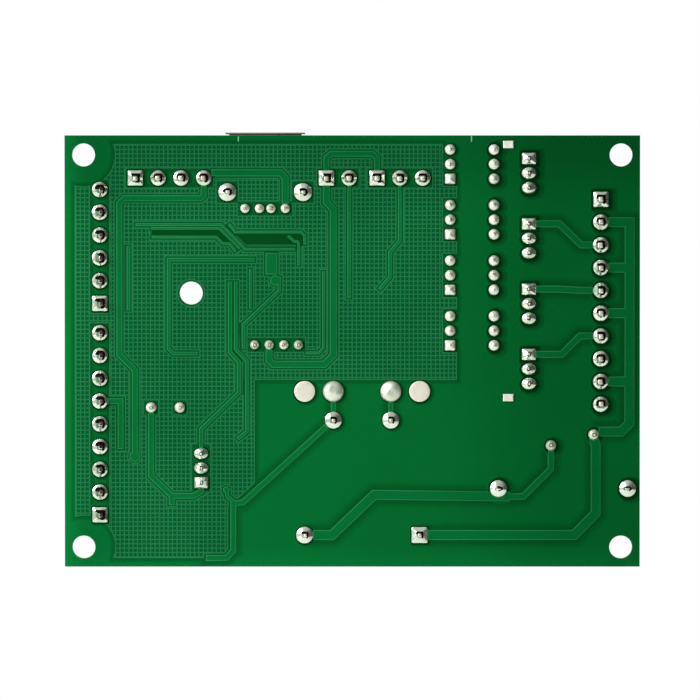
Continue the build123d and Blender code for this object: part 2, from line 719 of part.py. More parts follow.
# ---------------------------------------------------------------- power parts
def opto_case():
    across, along, tall = opto_body
    half = tall / 2
    waist = Rectangle(across, along)
    end = Rectangle(across - 2 * opto_draft, along - 2 * opto_draft)
    case = loft([Pos(0, 0, -half) * end.face(), waist.face(), Pos(0, 0, half) * end.face()],
                ruled=True)
    wide, reach, deep = opto_notch
    notch = Pos(0, along / 2, half) * Box(wide, 2 * reach, 2 * deep)
    return Pos(0, 0, opto_standoff + half) * (case - notch)


def make_optos():
    across, _, tall = opto_body
    exit_z = opto_standoff + tall / 2
    thick, wide = opto_lead
    reach = opto_row / 2
    profile = Polygon(
        (across / 2, exit_z), (across / 2, exit_z - thick), (reach - thick / 2, exit_z - thick),
        (reach - thick / 2, 0), (reach + thick / 2, 0), (reach + thick / 2, exit_z),
        align=None,
    )
    pin = extrude(Plane.XZ * profile, amount=wide / 2, both=True)
    for i, z in enumerate(opto_centres):
        seat = on_parts_face(opto_x + opto_row / 2, z)
        keep(f"opto_{i + 1}_case", seat * opto_case())
        for j in (-1, 0, 1):
            for turn in (0, 180):
                placed = Pos(0, j * opto_pitch, 0) * (Rot(0, 0, turn) * pin)
                keep("opto_leads", seat * placed)


def to220(name, x, z, facing=1):
    """A TO-220 part with its leads in a column. Facing 1 puts the tab to the left."""
    seat = on_parts_face(x, z) * Rot(0, 0, 0 if facing == 1 else 180)
    back = -to220_lead_inset
    front = back + to220_tab
    case = Pos(front + to220_case / 2, 0, to220_lift) * block(
        to220_case, to220_width, to220_tab_height - to220_tab_bare
    )
    edges = case.edges().group_by(Axis.X)[-1].filter_by(Axis.Z)
    keep(name + "_case", seat * chamfer(edges, to220_case_corner))
    plate = Rectangle(to220_width, to220_tab_height, align=(Align.CENTER, Align.MIN))
    plate = chamfer(plate.vertices().group_by(Axis.Y)[-1], to220_tab_corner)
    hole_up = to220_tab_height - to220_hole_drop
    plate = plate - Pos(0, hole_up) * RegularPolygon(to220_hole / 2, facets, major_radius=False)
    tab = Pos(back, 0, to220_lift) * extrude(Plane.YZ * plate, amount=to220_tab)
    pin = lead(to220_lead, to220_lift)
    keep(name + "_tab", seat * tab)
    for i in (-1, 0, 1):
        keep(name + "_tab", seat * (Pos(0, i * to220_pitch, 0) * pin))


def make_triacs():
    for i, z in enumerate(triac_centres):
        to220(f"triac_{i + 1}", triac_x, z)
    to220("regulator", regulator_x, regulator_z, facing=-1)


def make_heat_sink():
    """A finned bar that the four triacs are screwed to, staked to the board by two tabs."""
    seat = on_parts_face(sink_back, sink_z)
    points = [(0, 0), (0, sink_height), (-sink_plate, sink_height)]
    for up in [*(sink_height - down for down in sink_high_fins), *sink_low_fins]:
        points += [
            (-sink_plate, up + sink_fin / 2), (-sink_plate - sink_fin_reach, up + sink_fin / 2),
            (-sink_plate - sink_fin_reach, up - sink_fin / 2), (-sink_plate, up - sink_fin / 2),
        ]
    points.append((-sink_plate, 0))
    length = sink_tab_spacing + 2 * sink_margin
    bar = extrude(Plane.XZ * Polygon(*points, align=None), amount=length / 2, both=True)
    hole_up = to220_lift + to220_tab_height - to220_hole_drop
    drop = board_thickness + sink_tab_reach
    thread = RegularPolygon(screw / 2, facets, major_radius=False)
    bore = Rot(0, 90, 0) * extrude(thread, amount=sink_plate, both=True)
    for z in triac_centres:
        bar -= Pos(0, sink_z - z, hole_up) * bore
    for _, z in sink_tabs:
        bar += Pos(-sink_plate / 2, sink_z - z, -drop) * block(*sink_tab, drop)
    keep("heat_sink", seat * bar)
    head = extrude(RegularPolygon(screw_head / 2, 6, major_radius=False), screw_head_height)
    shank = extrude(thread, -(to220_tab + sink_plate + screw_reach))
    bolt = Rot(0, 90, 0) * (head + shank)
    for z in triac_centres:
        placed = Pos(to220_tab, sink_z - z, hole_up) * bolt
        keep("triac_screws", seat * placed)


def make_transformer():
    """Moulded case open at the board, filled with resin round the winding."""
    length, width, height = transformer_size
    seat = on_parts_face(transformer_x, transformer_low + transformer_row / 2)
    outer = block(length, width, height)
    outer = chamfer(outer.edges().filter_by(Axis.Z), transformer_corner)
    outer = chamfer(outer.faces().sort_by(Axis.Z)[-1].edges(), transformer_edge)
    wall = transformer_wall
    cavity = block(length - 2 * wall, width - 2 * wall, height - wall)
    keep("transformer_case", seat * (outer - cavity))
    lift = transformer_lift
    resin = Pos(0, 0, lift) * block(length - 2 * wall, width - 2 * wall, height - wall - lift)
    pin = lead(bobbin_pin, lift)
    keep("transformer_resin", seat * resin)
    keep("transformer_pins", *[on_parts_face(*p) * pin for p in primary + secondary])


def make_fuse():
    """Open holder: moulded base with end walls, two spring clips and a glass fuse."""
    length, width, height = fuse_base
    centre = (fuse[0][0] + fuse[1][0]) / 2
    seat = on_parts_face(centre, fuse_z)
    base = block(length, width, height)
    end_wall = block(fuse_end_wall, width, fuse_wall_height)
    for side in (-1, 1):
        base += Pos(side * (length - fuse_end_wall) / 2, 0, 0) * end_wall
        base -= Pos(side * fuse_pitch / 2, 0, 0) * block(*clip_blade, height)
    keep("fuse_base", seat * base)
    grip = fuse_diameter / 2
    half = grip + fuse_clip
    top = fuse_axis + fuse_clip_top
    near, far, low, high = fuse_clip_flare
    profile = Polygon(
        (-half, height), (half, height), (half, top), (half + far, top + low),
        (half + near, top + high), (grip, top), (grip, height + fuse_clip),
        (-grip, height + fuse_clip), (-grip, top), (-half - near, top + high),
        (-half - far, top + low), (-half, top),
        align=None,
    )
    blade = lead(clip_blade, height)
    for side in (-1, 1):
        inward = side * (fuse_pitch / 2 - fuse_clip_inset)
        clip = Pos(inward, 0, 0) * extrude(Plane.YZ * profile, fuse_clip_width / 2, both=True)
        keep("fuse_clips", seat * (clip + Pos(side * fuse_pitch / 2, 0, 0) * blade))
        cap = Pos(side * (fuse_length - fuse_cap) / 2, 0, fuse_axis) * (
            Rot(0, 90, 0) * Cylinder(grip, fuse_cap)
        )
        keep("fuse_caps", seat * cap)
    glass_length = fuse_length - 2 * fuse_cap
    glass = Pos(0, 0, fuse_axis) * (
        Rot(0, 90, 0) * Cylinder(grip - fuse_glass_step, glass_length)
    )
    keep("fuse_glass", seat * glass)


def make_varistor():
    seat = on_parts_face((varistor[0][0] + varistor[1][0]) / 2, varistor_middle_z)
    middle = varistor_lift + varistor_diameter / 2
    disc = Cylinder(varistor_diameter / 2, varistor_thickness)
    keep("varistor_disc", seat * (Pos(0, 0, middle) * (Rot(90, 0, 0) * disc)))
    across, along = (size / 2 for size in varistor_pitch)
    radius = varistor_diameter / 2
    rise = middle - sqrt(radius ** 2 - (across - wire / 2) ** 2)    # up to the disc's rim
    pin = lead((wire, wire), rise)
    for side in (-1, 1):
        keep("varistor_leads", seat * (Pos(side * across, -side * along, 0) * pin))


def make_capacitor():
    centre = (capacitor[0][0] + capacitor_pitch / 2, capacitor_z)
    seat = on_parts_face(*centre)
    radius = capacitor_diameter / 2
    middle = capacitor_lift + capacitor_length / 2
    keep("capacitor_can", seat * (Pos(0, 0, middle) * Cylinder(radius, capacitor_length)))
    pin = lead(can_lead, capacitor_lift)
    keep("capacitor_leads", *[on_parts_face(*p) * pin for p in capacitor])


# ---------------------------------------------------------------- surface-mounted parts
def make_controller():
    side, tall = controller_size
    seat = on_parts_face(*controller_at)
    body = block(side, side, tall)
    body = chamfer(body.faces().sort_by(Axis.Z)[-1].edges(), controller_edge)
    keep("controller_case", seat * body)


def make_small_parts():
    crystal = chamfer(block(*crystal_size).edges().filter_by(Axis.Z), crystal_corner)
    keep("crystal", on_parts_face(*crystal_at) * crystal)
    body = block(*rectifier_size)
    body = chamfer(body.faces().sort_by(Axis.Z)[-1].edges(), rectifier_edge)
    keep("bridge_rectifier", on_parts_face(rectifier_x, rectifier_z) * body)
    for z in opto_centres:
        at = (opto_x - chip_from_opto[0], z - chip_from_opto[1])
        keep("chip_resistors", on_parts_face(*at) * block(*chip))


def main():
    make_board()
    make_copper()
    make_solder()
    make_wafer("upper_left_header", j1, "z")
    make_wafer("lower_left_header", j2, "z")
    make_wafer("top_left_header", j3, "x")
    make_wafer("two_way_header", j4, "x")
    make_wafer("three_way_header", j5, "x")
    make_wafer("mains_header", j6, "z", turn=180)
    make_usb()
    make_program_header()
    make_optos()
    make_triacs()
    make_heat_sink()
    make_transformer()
    make_fuse()
    make_varistor()
    make_capacitor()
    make_controller()
    make_small_parts()
    os.makedirs("parts", exist_ok=True)
    for name, solids in nodes.items():
        shape = solids[0] if len(solids) == 1 else Compound(children=solids)
        shape.label = name
        export_step(shape, f"parts/{name}.step")
    print(len(nodes), "nodes")


main()
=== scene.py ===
"""Looks of the stove control board: solder side towards -Y, parts towards +Y."""
import json
from math import cos, pi, radians, sin

import bmesh
import bpy
import numpy as np
from bpy.props import FloatProperty, IntProperty, PointerProperty, StringProperty
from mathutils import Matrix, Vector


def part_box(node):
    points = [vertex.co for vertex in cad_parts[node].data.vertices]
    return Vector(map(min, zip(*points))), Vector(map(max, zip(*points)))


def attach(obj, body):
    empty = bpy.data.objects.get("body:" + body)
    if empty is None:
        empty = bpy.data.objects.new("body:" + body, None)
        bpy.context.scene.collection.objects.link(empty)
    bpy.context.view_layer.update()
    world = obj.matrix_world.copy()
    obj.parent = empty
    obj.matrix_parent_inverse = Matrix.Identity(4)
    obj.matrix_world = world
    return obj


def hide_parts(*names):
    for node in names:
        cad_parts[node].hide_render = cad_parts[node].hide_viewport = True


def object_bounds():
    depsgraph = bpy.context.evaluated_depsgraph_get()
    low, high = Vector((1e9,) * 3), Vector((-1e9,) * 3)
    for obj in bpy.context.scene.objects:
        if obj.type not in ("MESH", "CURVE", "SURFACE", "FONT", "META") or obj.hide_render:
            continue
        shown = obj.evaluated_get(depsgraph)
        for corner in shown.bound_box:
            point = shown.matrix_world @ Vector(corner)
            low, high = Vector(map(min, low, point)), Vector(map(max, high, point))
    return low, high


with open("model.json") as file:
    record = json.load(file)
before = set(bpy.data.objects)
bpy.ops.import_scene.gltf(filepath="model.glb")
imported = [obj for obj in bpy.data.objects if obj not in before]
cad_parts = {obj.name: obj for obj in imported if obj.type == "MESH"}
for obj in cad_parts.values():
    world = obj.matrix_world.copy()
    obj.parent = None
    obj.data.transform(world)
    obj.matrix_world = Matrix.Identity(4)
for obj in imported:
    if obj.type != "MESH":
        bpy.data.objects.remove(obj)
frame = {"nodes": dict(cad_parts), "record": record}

cad_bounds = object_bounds()

bl_info = {
    "name": "Stove control board",
    "version": (1, 0, 0),
    "blender": (4, 5, 0),
    "location": "3D View > Sidebar > Control board",
    "description": "Builds the solder side, the parts and the finishes of a stove control board",
    "category": "Object",
}

MM = 0.001
BODY = "root"


# ---------------------------------------------------------------- colours and nodes
def srgb(code, alpha=1.0):
    """A hex colour, such as "1A7040", turned to the linear values that sockets take."""
    parts = [int(code[i:i + 2], 16) / 255 for i in (0, 2, 4)]
    linear = [c / 12.92 if c <= 0.04045 else ((c + 0.055) / 1.055) ** 2.4 for c in parts]
    return (*linear, alpha)


def add(tree, kind, inputs=None, **settings):
    """Adds a node. Settings are its properties; an input given as a socket is linked."""
    node = tree.nodes.new(kind)
    for name, value in settings.items():
        setattr(node, name, value)
    for name, value in (inputs or {}).items():
        if isinstance(value, bpy.types.NodeSocket):
            tree.links.new(value, node.inputs[name])
        else:
            node.inputs[name].default_value = value
    return node


def blank(name):
    """A new material: its node tree, a principled shader and the object coordinates."""
    made = bpy.data.materials.new(name)
    made.use_nodes = True
    tree = made.node_tree
    tree.nodes.clear()
    shader = add(tree, "ShaderNodeBsdfPrincipled")
    add(tree, "ShaderNodeOutputMaterial", {"Surface": shader.outputs[0]})
    place = add(tree, "ShaderNodeTexCoord").outputs["Object"]
    return made, tree, shader, place


def surface(name, colour, other, patch, roughness, grain, depth, stretch=None, **constants):
    """A finish whose colour drifts between two over patches some millimetres wide, and whose
    gloss and relief vary over a fine grain, all sizes in millimetres. Stretch draws the grain
    out along an axis, and the constants are set on the shader's own sockets."""
    made, tree, shader, place = blank(name)
    if stretch:
        place = add(tree, "ShaderNodeMapping", {"Vector": place, "Scale": stretch}).outputs[0]
    drift = add(tree, "ShaderNodeTexNoise", {
        "Vector": place, "Scale": 0.5 / (patch * MM), "Detail": 3.0}).outputs["Fac"]
    drift = add(tree, "ShaderNodeMapRange", {
        "Value": drift, "From Min": 0.35, "From Max": 0.65}).outputs["Result"]
    tint = add(tree, "ShaderNodeMix", {0: drift, 6: srgb(colour), 7: srgb(other)},
               data_type="RGBA").outputs[2]
    fine = add(tree, "ShaderNodeTexNoise", {
        "Vector": place, "Scale": 0.5 / (grain * MM), "Detail": 2.0}).outputs["Fac"]
    gloss = add(tree, "ShaderNodeMapRange", {
        "Value": fine, "From Min": 0.35, "From Max": 0.65,
        "To Min": roughness - 0.05, "To Max": roughness + 0.08}).outputs["Result"]
    bump = add(tree, "ShaderNodeBump", {"Height": fine, "Distance": depth * MM}).outputs[0]
    for socket, value in (("Base Color", tint), ("Roughness", gloss), ("Normal", bump)):
        tree.links.new(value, shader.inputs[socket])
    for socket, value in constants.items():
        shader.inputs[socket.replace("_", " ")].default_value = value
    return made


def moulded(name, colour, other, roughness=0.5, patch=6.0, grain=0.12, depth=0.006):
    """A moulded or coated surface. The grain is that of the tool's spark-eroded face, and it
    breaks up the highlight."""
    return surface(name, colour, other, patch, roughness, grain, depth)


def metal(name, colour, other, roughness=0.25, patch=1.2, grain=0.1, depth=0.004, stretch=None,
          bare=1.0):
    """A plated or cast metal: its tone drifts with oxide, and stretch gives the lines that
    rolling or extrusion leaves. Bare is how much of it has no milky film of oxide or flux."""
    return surface(name, colour, other, patch, roughness, grain, depth, stretch, Metallic=bare)


def green_coat(name, colour, other, patch, roughness, level, grain, depth,
               darkest_share=(0.25, 0.42, 0.40)):
    """Solder mask, a coat of light-cured epoxy. Its green is lighter at the left and lower edges
    of the board and darker along the top and the right: painted shade of the light's fall-off
    across the board, partly the coat lying thicker there. Slow drifts in its thickness and a
    fine orange peel break it up. Little light comes off its top. The share of painted shade is
    a share of the left rise times the lower one, plus the right and the upper rise, over the
    most that they come to. Darkest_share is what is left of each colour where the shade is
    strongest but for the very corner."""
    edge_share, most = 0.6, 1.3
    made = surface(name, colour, other, patch, roughness, grain, depth,
                   Specular_IOR_Level=level)
    tree = made.node_tree
    shader = next(n for n in tree.nodes if n.type == "BSDF_PRINCIPLED")
    thin = shader.inputs["Base Color"].links[0].from_socket
    place = add(tree, "ShaderNodeTexCoord").outputs["Object"]
    low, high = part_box("circuit_board")
    at = add(tree, "ShaderNodeSeparateXYZ", {"Vector": place}).outputs
    # Each rise: its axis, the edge it is measured from, its start and end in millimetres from
    # there, and the painted shade before and after it.
    rises = [add(tree, "ShaderNodeMapRange", {
        "Value": at[axis], "From Min": edge + start * MM, "From Max": edge + end * MM,
        "To Min": before, "To Max": after}, interpolation_type="SMOOTHSTEP").outputs["Result"]
        for axis, edge, start, end, before, after in (
            ("X", low[0], -1, 4, 0.0, 1.0), ("Z", low[2], 0, 4, 0.7, 1.0),
            ("X", low[0], 62, 88, 0.0, 0.30), ("Z", high[2], -15, -2, 0.0, 0.22))]
    edges = add(tree, "ShaderNodeMath", {0: rises[0], 1: rises[1]}, operation="MULTIPLY")
    both = add(tree, "ShaderNodeMath", {0: rises[2], 1: rises[3]}, operation="ADD")
    across = add(tree, "ShaderNodeMath", {0: edges.outputs[0], 1: edge_share,
                                          2: both.outputs[0]}, operation="MULTIPLY_ADD")
    across = add(tree, "ShaderNodeMath", {0: across.outputs[0], 1: most},
                 operation="DIVIDE").outputs[0]
    # Painted shade: each colour falls towards what is left of it as the share rises.
    left = [max(1 - most * (1 - part), 0.02) for part in darkest_share]
    deep_and_shaded = add(tree, "ShaderNodeMix", {0: 1.0, 6: thin, 7: (*left, 1.0)},
               data_type="RGBA", blend_type="MULTIPLY").outputs[2]
    green = add(tree, "ShaderNodeMix", {0: across, 6: thin, 7: deep_and_shaded},
                data_type="RGBA").outputs[2]
    tree.links.new(green, shader.inputs["Base Color"])
    return made, tree, shader, green


def weave_coat(name, looks):
    """The mask on bare laminate, where the weave under it makes it wavy about every
    millimetre."""
    return green_coat(name, looks.mask, looks.mask_drift, patch=22.0, roughness=0.36,
                      level=0.012, grain=1.1, depth=0.004)


def mask_on_laminate(name, looks):
    """Solder mask baked on woven-glass epoxy. The sawn sides show the raw laminate, a dull
    yellow-green with pale ends of yarn, drawn about twice as coarse as they are, to show."""
    made, tree, shader, green = weave_coat(name, looks)
    facing = add(tree, "ShaderNodeNewGeometry").outputs["True Normal"]
    facing = add(tree, "ShaderNodeSeparateXYZ", {"Vector": facing}).outputs["Y"]
    facing = add(tree, "ShaderNodeMath", {0: facing}, operation="ABSOLUTE").outputs[0]
    flat = add(tree, "ShaderNodeMath", {0: facing, 1: 0.7}, operation="GREATER_THAN").outputs[0]
    place = add(tree, "ShaderNodeTexCoord").outputs["Object"]
    yarn = add(tree, "ShaderNodeTexNoise", {
        "Vector": place, "Scale": 0.5 / (0.3 * MM)}).outputs["Fac"]
    sawn = add(tree, "ShaderNodeMix", {0: yarn, 6: srgb("5C6B33"), 7: srgb("8E9150")},
               data_type="RGBA").outputs[2]
    coat = add(tree, "ShaderNodeMix", {0: flat, 6: sawn, 7: green}, data_type="RGBA").outputs[2]
    tree.links.new(coat, shader.inputs["Base Color"])
    return made


def mask_with_painted_shade(name, looks):
    """The laminate's mask darkened by painted shade: along copper, where the mask also gathered
    thicker, and round the joints as their painted shadow. The attribute pool_and_shade is 0 far
    off, so the sheet's rim can't be told from the mask round it."""
    made, tree, shader, green = weave_coat(name, looks)
    pool_and_shade = add(tree, "ShaderNodeAttribute", attribute_name="pool_and_shade").outputs["Fac"]
    green = add(tree, "ShaderNodeMix", {0: pool_and_shade, 6: green, 7: (0.3, 0.26, 0.2, 1.0)},
                data_type="RGBA", blend_type="MULTIPLY").outputs[2]
    tree.links.new(green, shader.inputs["Base Color"])
    return made


def mask_coat(name, colour, other, darkest_share):
    """The same mask on copper or in the windows of the hatch: smoother than on the weave."""
    return green_coat(name, colour, other, patch=9.0, roughness=0.34, level=0.014, grain=0.5,
                      depth=0.003, darkest_share=darkest_share)[0]


def clear_glass(name):
    """Soda-lime glass: clear, thin, and slightly green where it is thick."""
    return surface(name, "EFF7F3", "DDEFE6", 5.0, 0.06, 4.0, 0.0, Transmission_Weight=1.0,
                   IOR=1.5)


# ---------------------------------------------------------------- meshes
def placed(name, data):
    """A new object in the scene, at the origin."""
    made = bpy.data.objects.new(name, data)
    bpy.context.scene.collection.objects.link(made)
    return made


def put(name, points, faces, materials, kinds=None, smooth=True, replaced=(), slot=None,
        poles=False):
    """Makes a piece from an array of points in metres and an array of faces, and rides it.
    Poles merges each ring that has no radius into one point."""
    mesh = bpy.data.meshes.new(name)
    mesh.from_pydata(points.tolist(), [], faces if isinstance(faces, list) else faces.tolist())
    for made in materials:
        mesh.materials.append(made)
    if kinds is not None:
        mesh.polygons.foreach_set("material_index", np.asarray(kinds, dtype=np.int32))
    mesh.polygons.foreach_set("use_smooth", np.full(len(mesh.polygons), smooth))
    if poles:
        form = bmesh.new()
        form.from_mesh(mesh)
        bmesh.ops.remove_doubles(form, verts=form.verts, dist=0.0001 * MM)
        form.to_mesh(mesh)
        form.free()
    mesh.update()
    return settle(placed(name, mesh), replaced)


def settle(piece, replaced=()):
    """Says which body a piece rides on, and hides the CAD nodes that it stands for."""
    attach(piece, BODY)
    if replaced:
        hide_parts(*replaced)
    return piece


def corners(node):
    """The lowest and highest corners of a CAD node, in metres."""
    return [np.array(corner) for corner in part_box(node)]


def welded(node):
    """Points and triangles of a CAD node, with the points that coincide made one."""
    mesh = frame["nodes"][node].data
    points = np.empty(len(mesh.vertices) * 3)
    mesh.vertices.foreach_get("co", points)
    points = points.reshape(-1, 3)
    mesh.calc_loop_triangles()
    ends = np.empty(len(mesh.loop_triangles) * 3, dtype=np.int64)
    mesh.loop_triangles.foreach_get("vertices", ends)
    _, first, same = np.unique(np.round(points, 7), axis=0, return_index=True,
                               return_inverse=True)
    triangles = same.reshape(-1)[ends].reshape(-1, 3)
    whole = ((triangles[:, 0] != triangles[:, 1]) & (triangles[:, 1] != triangles[:, 2])
             & (triangles[:, 0] != triangles[:, 2]))
    return points[first], triangles[whole]


def softened(node, made, radius, steps=2):
    """A merged copy of a CAD node that stands for it, with its edges rounded."""
    points, triangles = welded(node)
    form = bmesh.new()
    mesh = bpy.data.meshes.new(node + "_finished")
    mesh.from_pydata(points.tolist(), [], triangles.tolist())
    form.from_mesh(mesh)
    bmesh.ops.dissolve_limit(form, angle_limit=radians(1), verts=form.verts, edges=form.edges)
    form.to_mesh(mesh)
    form.free()
    mesh.materials.append(made)
    mesh.polygons.foreach_set("use_smooth", np.full(len(mesh.polygons), True))
    piece = placed(mesh.name, mesh)
    edge = piece.modifiers.new("rounded_edges", "BEVEL")
    edge.width = radius * MM
    edge.segments = steps
    edge.limit_method = "ANGLE"
    edge.angle_limit = radians(25)
    edge.harden_normals = True
    return settle(piece, [node])


def put_turned(name, profile, kinds, origin, axis, side, materials, around=48, poles=True,
               **how):
    """Makes a piece that is a solid of revolution: the profile's (radius, distance along the
    axis), in millimetres, goes round the axis from one pole to the other, or all the way round
    a wall. Each kind is the material of the band between two profile points. Side is at a right
    angle to the axis."""
    profile = np.array(profile, float)
    axis, side = np.array(axis, float), np.array(side, float)
    angle = np.linspace(0, 2 * pi, around, endpoint=False)[None, :, None]
    radius, reach = profile[:, 0, None, None] * MM, profile[:, 1, None, None] * MM
    points = origin + reach * axis + radius * (
        np.cos(angle) * side + np.sin(angle) * np.cross(axis, side))
    put(name, points.reshape(-1, 3), grid_faces(len(profile), around), materials,
        np.repeat(kinds, around), poles=poles, **how)


def spread(label, links):
    """Labels spread along edges or triangles until every point carries the lowest label of
    all that it hangs together with."""
    while True:
        low = label[links].min(axis=1)
        new = label.copy()
        np.minimum.at(new, links.reshape(-1), np.repeat(low, links.shape[1]))
        if (new == label).all():
            return label
        label = new


def solids(node):
    """The points of each separate solid in a node."""
    points, triangles = welded(node)
    label = spread(np.arange(len(points)), triangles)
    return [points[label == k] for k in np.unique(label)]


def solder_face(node):
    """Points of a node, and the triangles of its face on the solder side."""
    points, triangles = welded(node)
    front = points[:, 1].min()
    return points, triangles[(points[triangles][:, :, 1] < front + 0.002 * MM).all(axis=1)]


def outline(node):
    """Edges round the solder-side face of a node, as start and end points in the board's
    plane. The copper is on the left of each edge."""
    points, flat = solder_face(node)
    edges = np.concatenate([flat[:, [0, 1]], flat[:, [1, 2]], flat[:, [2, 0]]])
    count = len(points)
    rim = edges[~np.isin(edges[:, 0] * count + edges[:, 1], edges[:, 1] * count + edges[:, 0])]
    return points[:, [0, 2]], rim


def grid_faces(rows, columns):
    """Quads of a grid that closes on itself along its columns."""
    row, column = np.meshgrid(np.arange(rows - 1), np.arange(columns), indexing="ij")
    after = (column + 1) % columns
    quads = np.stack([row * columns + column, row * columns + after,
                      (row + 1) * columns + after, (row + 1) * columns + column], -1)
    return quads.reshape(-1, 4)


def ribbon(points, rim, profile):
    """Carries a profile along every edge of an outline. The profile gives, for each of its
    lines, the distance in from the edge and the height over the board, in millimetres. At a
    corner each line lies on the bisector: the two edge normals added, over one plus their dot
    product."""
    along = points[rim[:, 1]] - points[rim[:, 0]]
    along /= np.linalg.norm(along, axis=1, keepdims=True)
    normal = np.stack([-along[:, 1], along[:, 0]], -1)
    leaving = np.zeros_like(points)
    coming = np.zeros_like(points)
    leaving[rim[:, 0]] = normal
    coming[rim[:, 1]] = normal
    dot = np.maximum((leaving * coming).sum(1, keepdims=True), -0.5)
    corner = (leaving + coming) / (1 + dot)
    layers = []
    for inward, height in profile:
        flat = points + corner * inward * MM
        layers.append(np.stack([flat[:, 0], np.full(len(flat), -height * MM), flat[:, 1]], -1))
    count = len(points)
    quads = [
        np.stack([rim[:, 0] + i * count, rim[:, 1] + i * count,
                  rim[:, 1] + (i + 1) * count, rim[:, 0] + (i + 1) * count], -1)
        for i in range(len(profile) - 1)
    ]
    return np.concatenate(layers), np.concatenate(quads)


def clear_of_hole(points):
    """Moves the points that would overhang the inner hole just past its edge: the offset from
    the hole's centre times the larger of 1 and radius over distance."""
    hole = next(m for m in frame["record"]["mounts"] if m["name"] == "inner_hole")
    centre = np.array(hole["pos_m"])[[0, 2]]
    past = 0.06
    radius = (hole["dims"]["r_mm"] + past) * MM
    offset = points[:, [0, 2]] - centre
    distance = np.maximum(np.linalg.norm(offset, axis=1, keepdims=True), 0.001 * MM)
    points[:, [0, 2]] = centre + offset * np.maximum(radius / distance, 1.0)
    return points


def shade(node, outside, inside):
    """A thin sheet of dark mask under a pattern of copper, partly painted shade: the node's own
    outline filled with its own triangles, and a rim round it. The rim reaches further into the
    openings of the pattern than past its outer edge. A loop's signed area tells which it is: an
    opening runs the other way round."""
    points, flat = solder_face(node)
    plan, rim = outline(node)
    label = spread(np.arange(len(plan)), rim)
    a, b = plan[rim[:, 0]], plan[rim[:, 1]]
    area = np.bincount(label[rim[:, 0]], a[:, 0] * b[:, 1] - a[:, 1] * b[:, 0], len(plan))
    opening = area[label[rim[:, 0]]] < 0
    over, foot = 0.012, 0.006
    sheet = points.copy()
    sheet[:, 1] = -over * MM
    points, faces = joined([(sheet, flat)] + [
        ribbon(plan, edges, [(-reach, foot), (0.0, over)])
        for edges, reach in ((rim[opening], inside), (rim[~opening], outside))])
    return clear_of_hole(points), faces


def put_pooled_shade(name, points, faces, made):
    """Puts a sheet whose fourth column is its share of painted shade, kept on the board."""
    points, faces = tidy(points, faces)
    low, high = corners("circuit_board")
    inset = 0.02 * MM
    points[:, [0, 2]] = np.clip(points[:, [0, 2]], low[[0, 2]] + inset, high[[0, 2]] - inset)
    points = clear_of_hole(points)
    piece = put(name, points[:, :3], faces, [made], slot="green_laminate")
    pool_and_shade = piece.data.attributes.new("pool_and_shade", "FLOAT", "POINT")
    pool_and_shade.data.foreach_set("value", points[:, 3].astype(np.float32))


def pooled_shade(plan, rim, steps):
    """Painted shade along an outline, partly mask gathered thicker against the copper: for each
    step the distance out, in millimetres, and the share of painted shade there. The sheet is a
    hair over the laminate and gets lower outwards."""
    sheet, faces = ribbon(plan, rim, [(-out, 0.005 - 0.002 * out) for out, pool_and_shade in steps])
    return np.column_stack([sheet, np.repeat([pool_and_shade for out, pool_and_shade in steps], len(plan))]), faces


def joined(parts):
    """One mesh from several pairs of points and faces."""
    starts = np.cumsum([0] + [len(points) for points, faces in parts])
    return np.concatenate([points for points, faces in parts]), [
        face for (points, faces), start in zip(parts, starts) for face in (faces + start).tolist()]


def repeated(faces, size, count):
    """The faces of one grid of size points, again for each of count such grids."""
    return (faces[None] + np.arange(count)[:, None, None] * size).reshape(-1, faces.shape[1])


def tidy(points, faces):
    """Drops the points that no face uses."""
    used, renumbered = np.unique(faces.reshape(-1), return_inverse=True)
    return points[used], renumbered.reshape(faces.shape)


# ---------------------------------------------------------------- crosshatched ground plane
def spans(points, rim, lines, axis):
    """Where lines of even pitch cross the copper: line, start and end. A line crosses the
    edges that have one end above it; sorted along it, the crossings pair up."""
    a, b = points[rim[:, 0]], points[rim[:, 1]]
    over, under = a[:, 1 - axis][None], b[:, 1 - axis][None]
    level = lines[:, None]
    line, edge = np.nonzero((over > level) != (under > level))
    share = (lines[line] - a[edge, 1 - axis]) / (b[edge, 1 - axis] - a[edge, 1 - axis])
    at = a[edge, axis] + share * (b[edge, axis] - a[edge, axis])
    order = np.lexsort((at, line))
    return lines[line[order][::2]], at[order][::2], at[order][1::2]


def bars(level, start, end, axis, width, height, slope):
    """Raised strips with sloped sides: each is a four-point section, foot, edge, edge, foot,
    swept from start to end."""
    across = np.array([-width / 2 - slope, -width / 2, width / 2, width / 2 + slope]) * MM
    up = np.array([0.0, height, height, 0.0]) * -MM
    pair = np.stack([start, end], -1)
    count = len(level)
    run = np.broadcast_to(pair[:, :, None], (count, 2, 4))
    side = np.broadcast_to(level[:, None, None] + across, (count, 2, 4))
    rise = np.broadcast_to(up, (count, 2, 4))
    points = np.stack([run, rise, side] if axis == 0 else [side, rise, run], -1).reshape(-1, 3)
    strip = np.array([[0, 4, 5, 1], [1, 5, 6, 2], [2, 6, 7, 3]])
    if axis == 1:
        strip = strip[:, ::-1]
    return points, repeated(strip, 8, count)


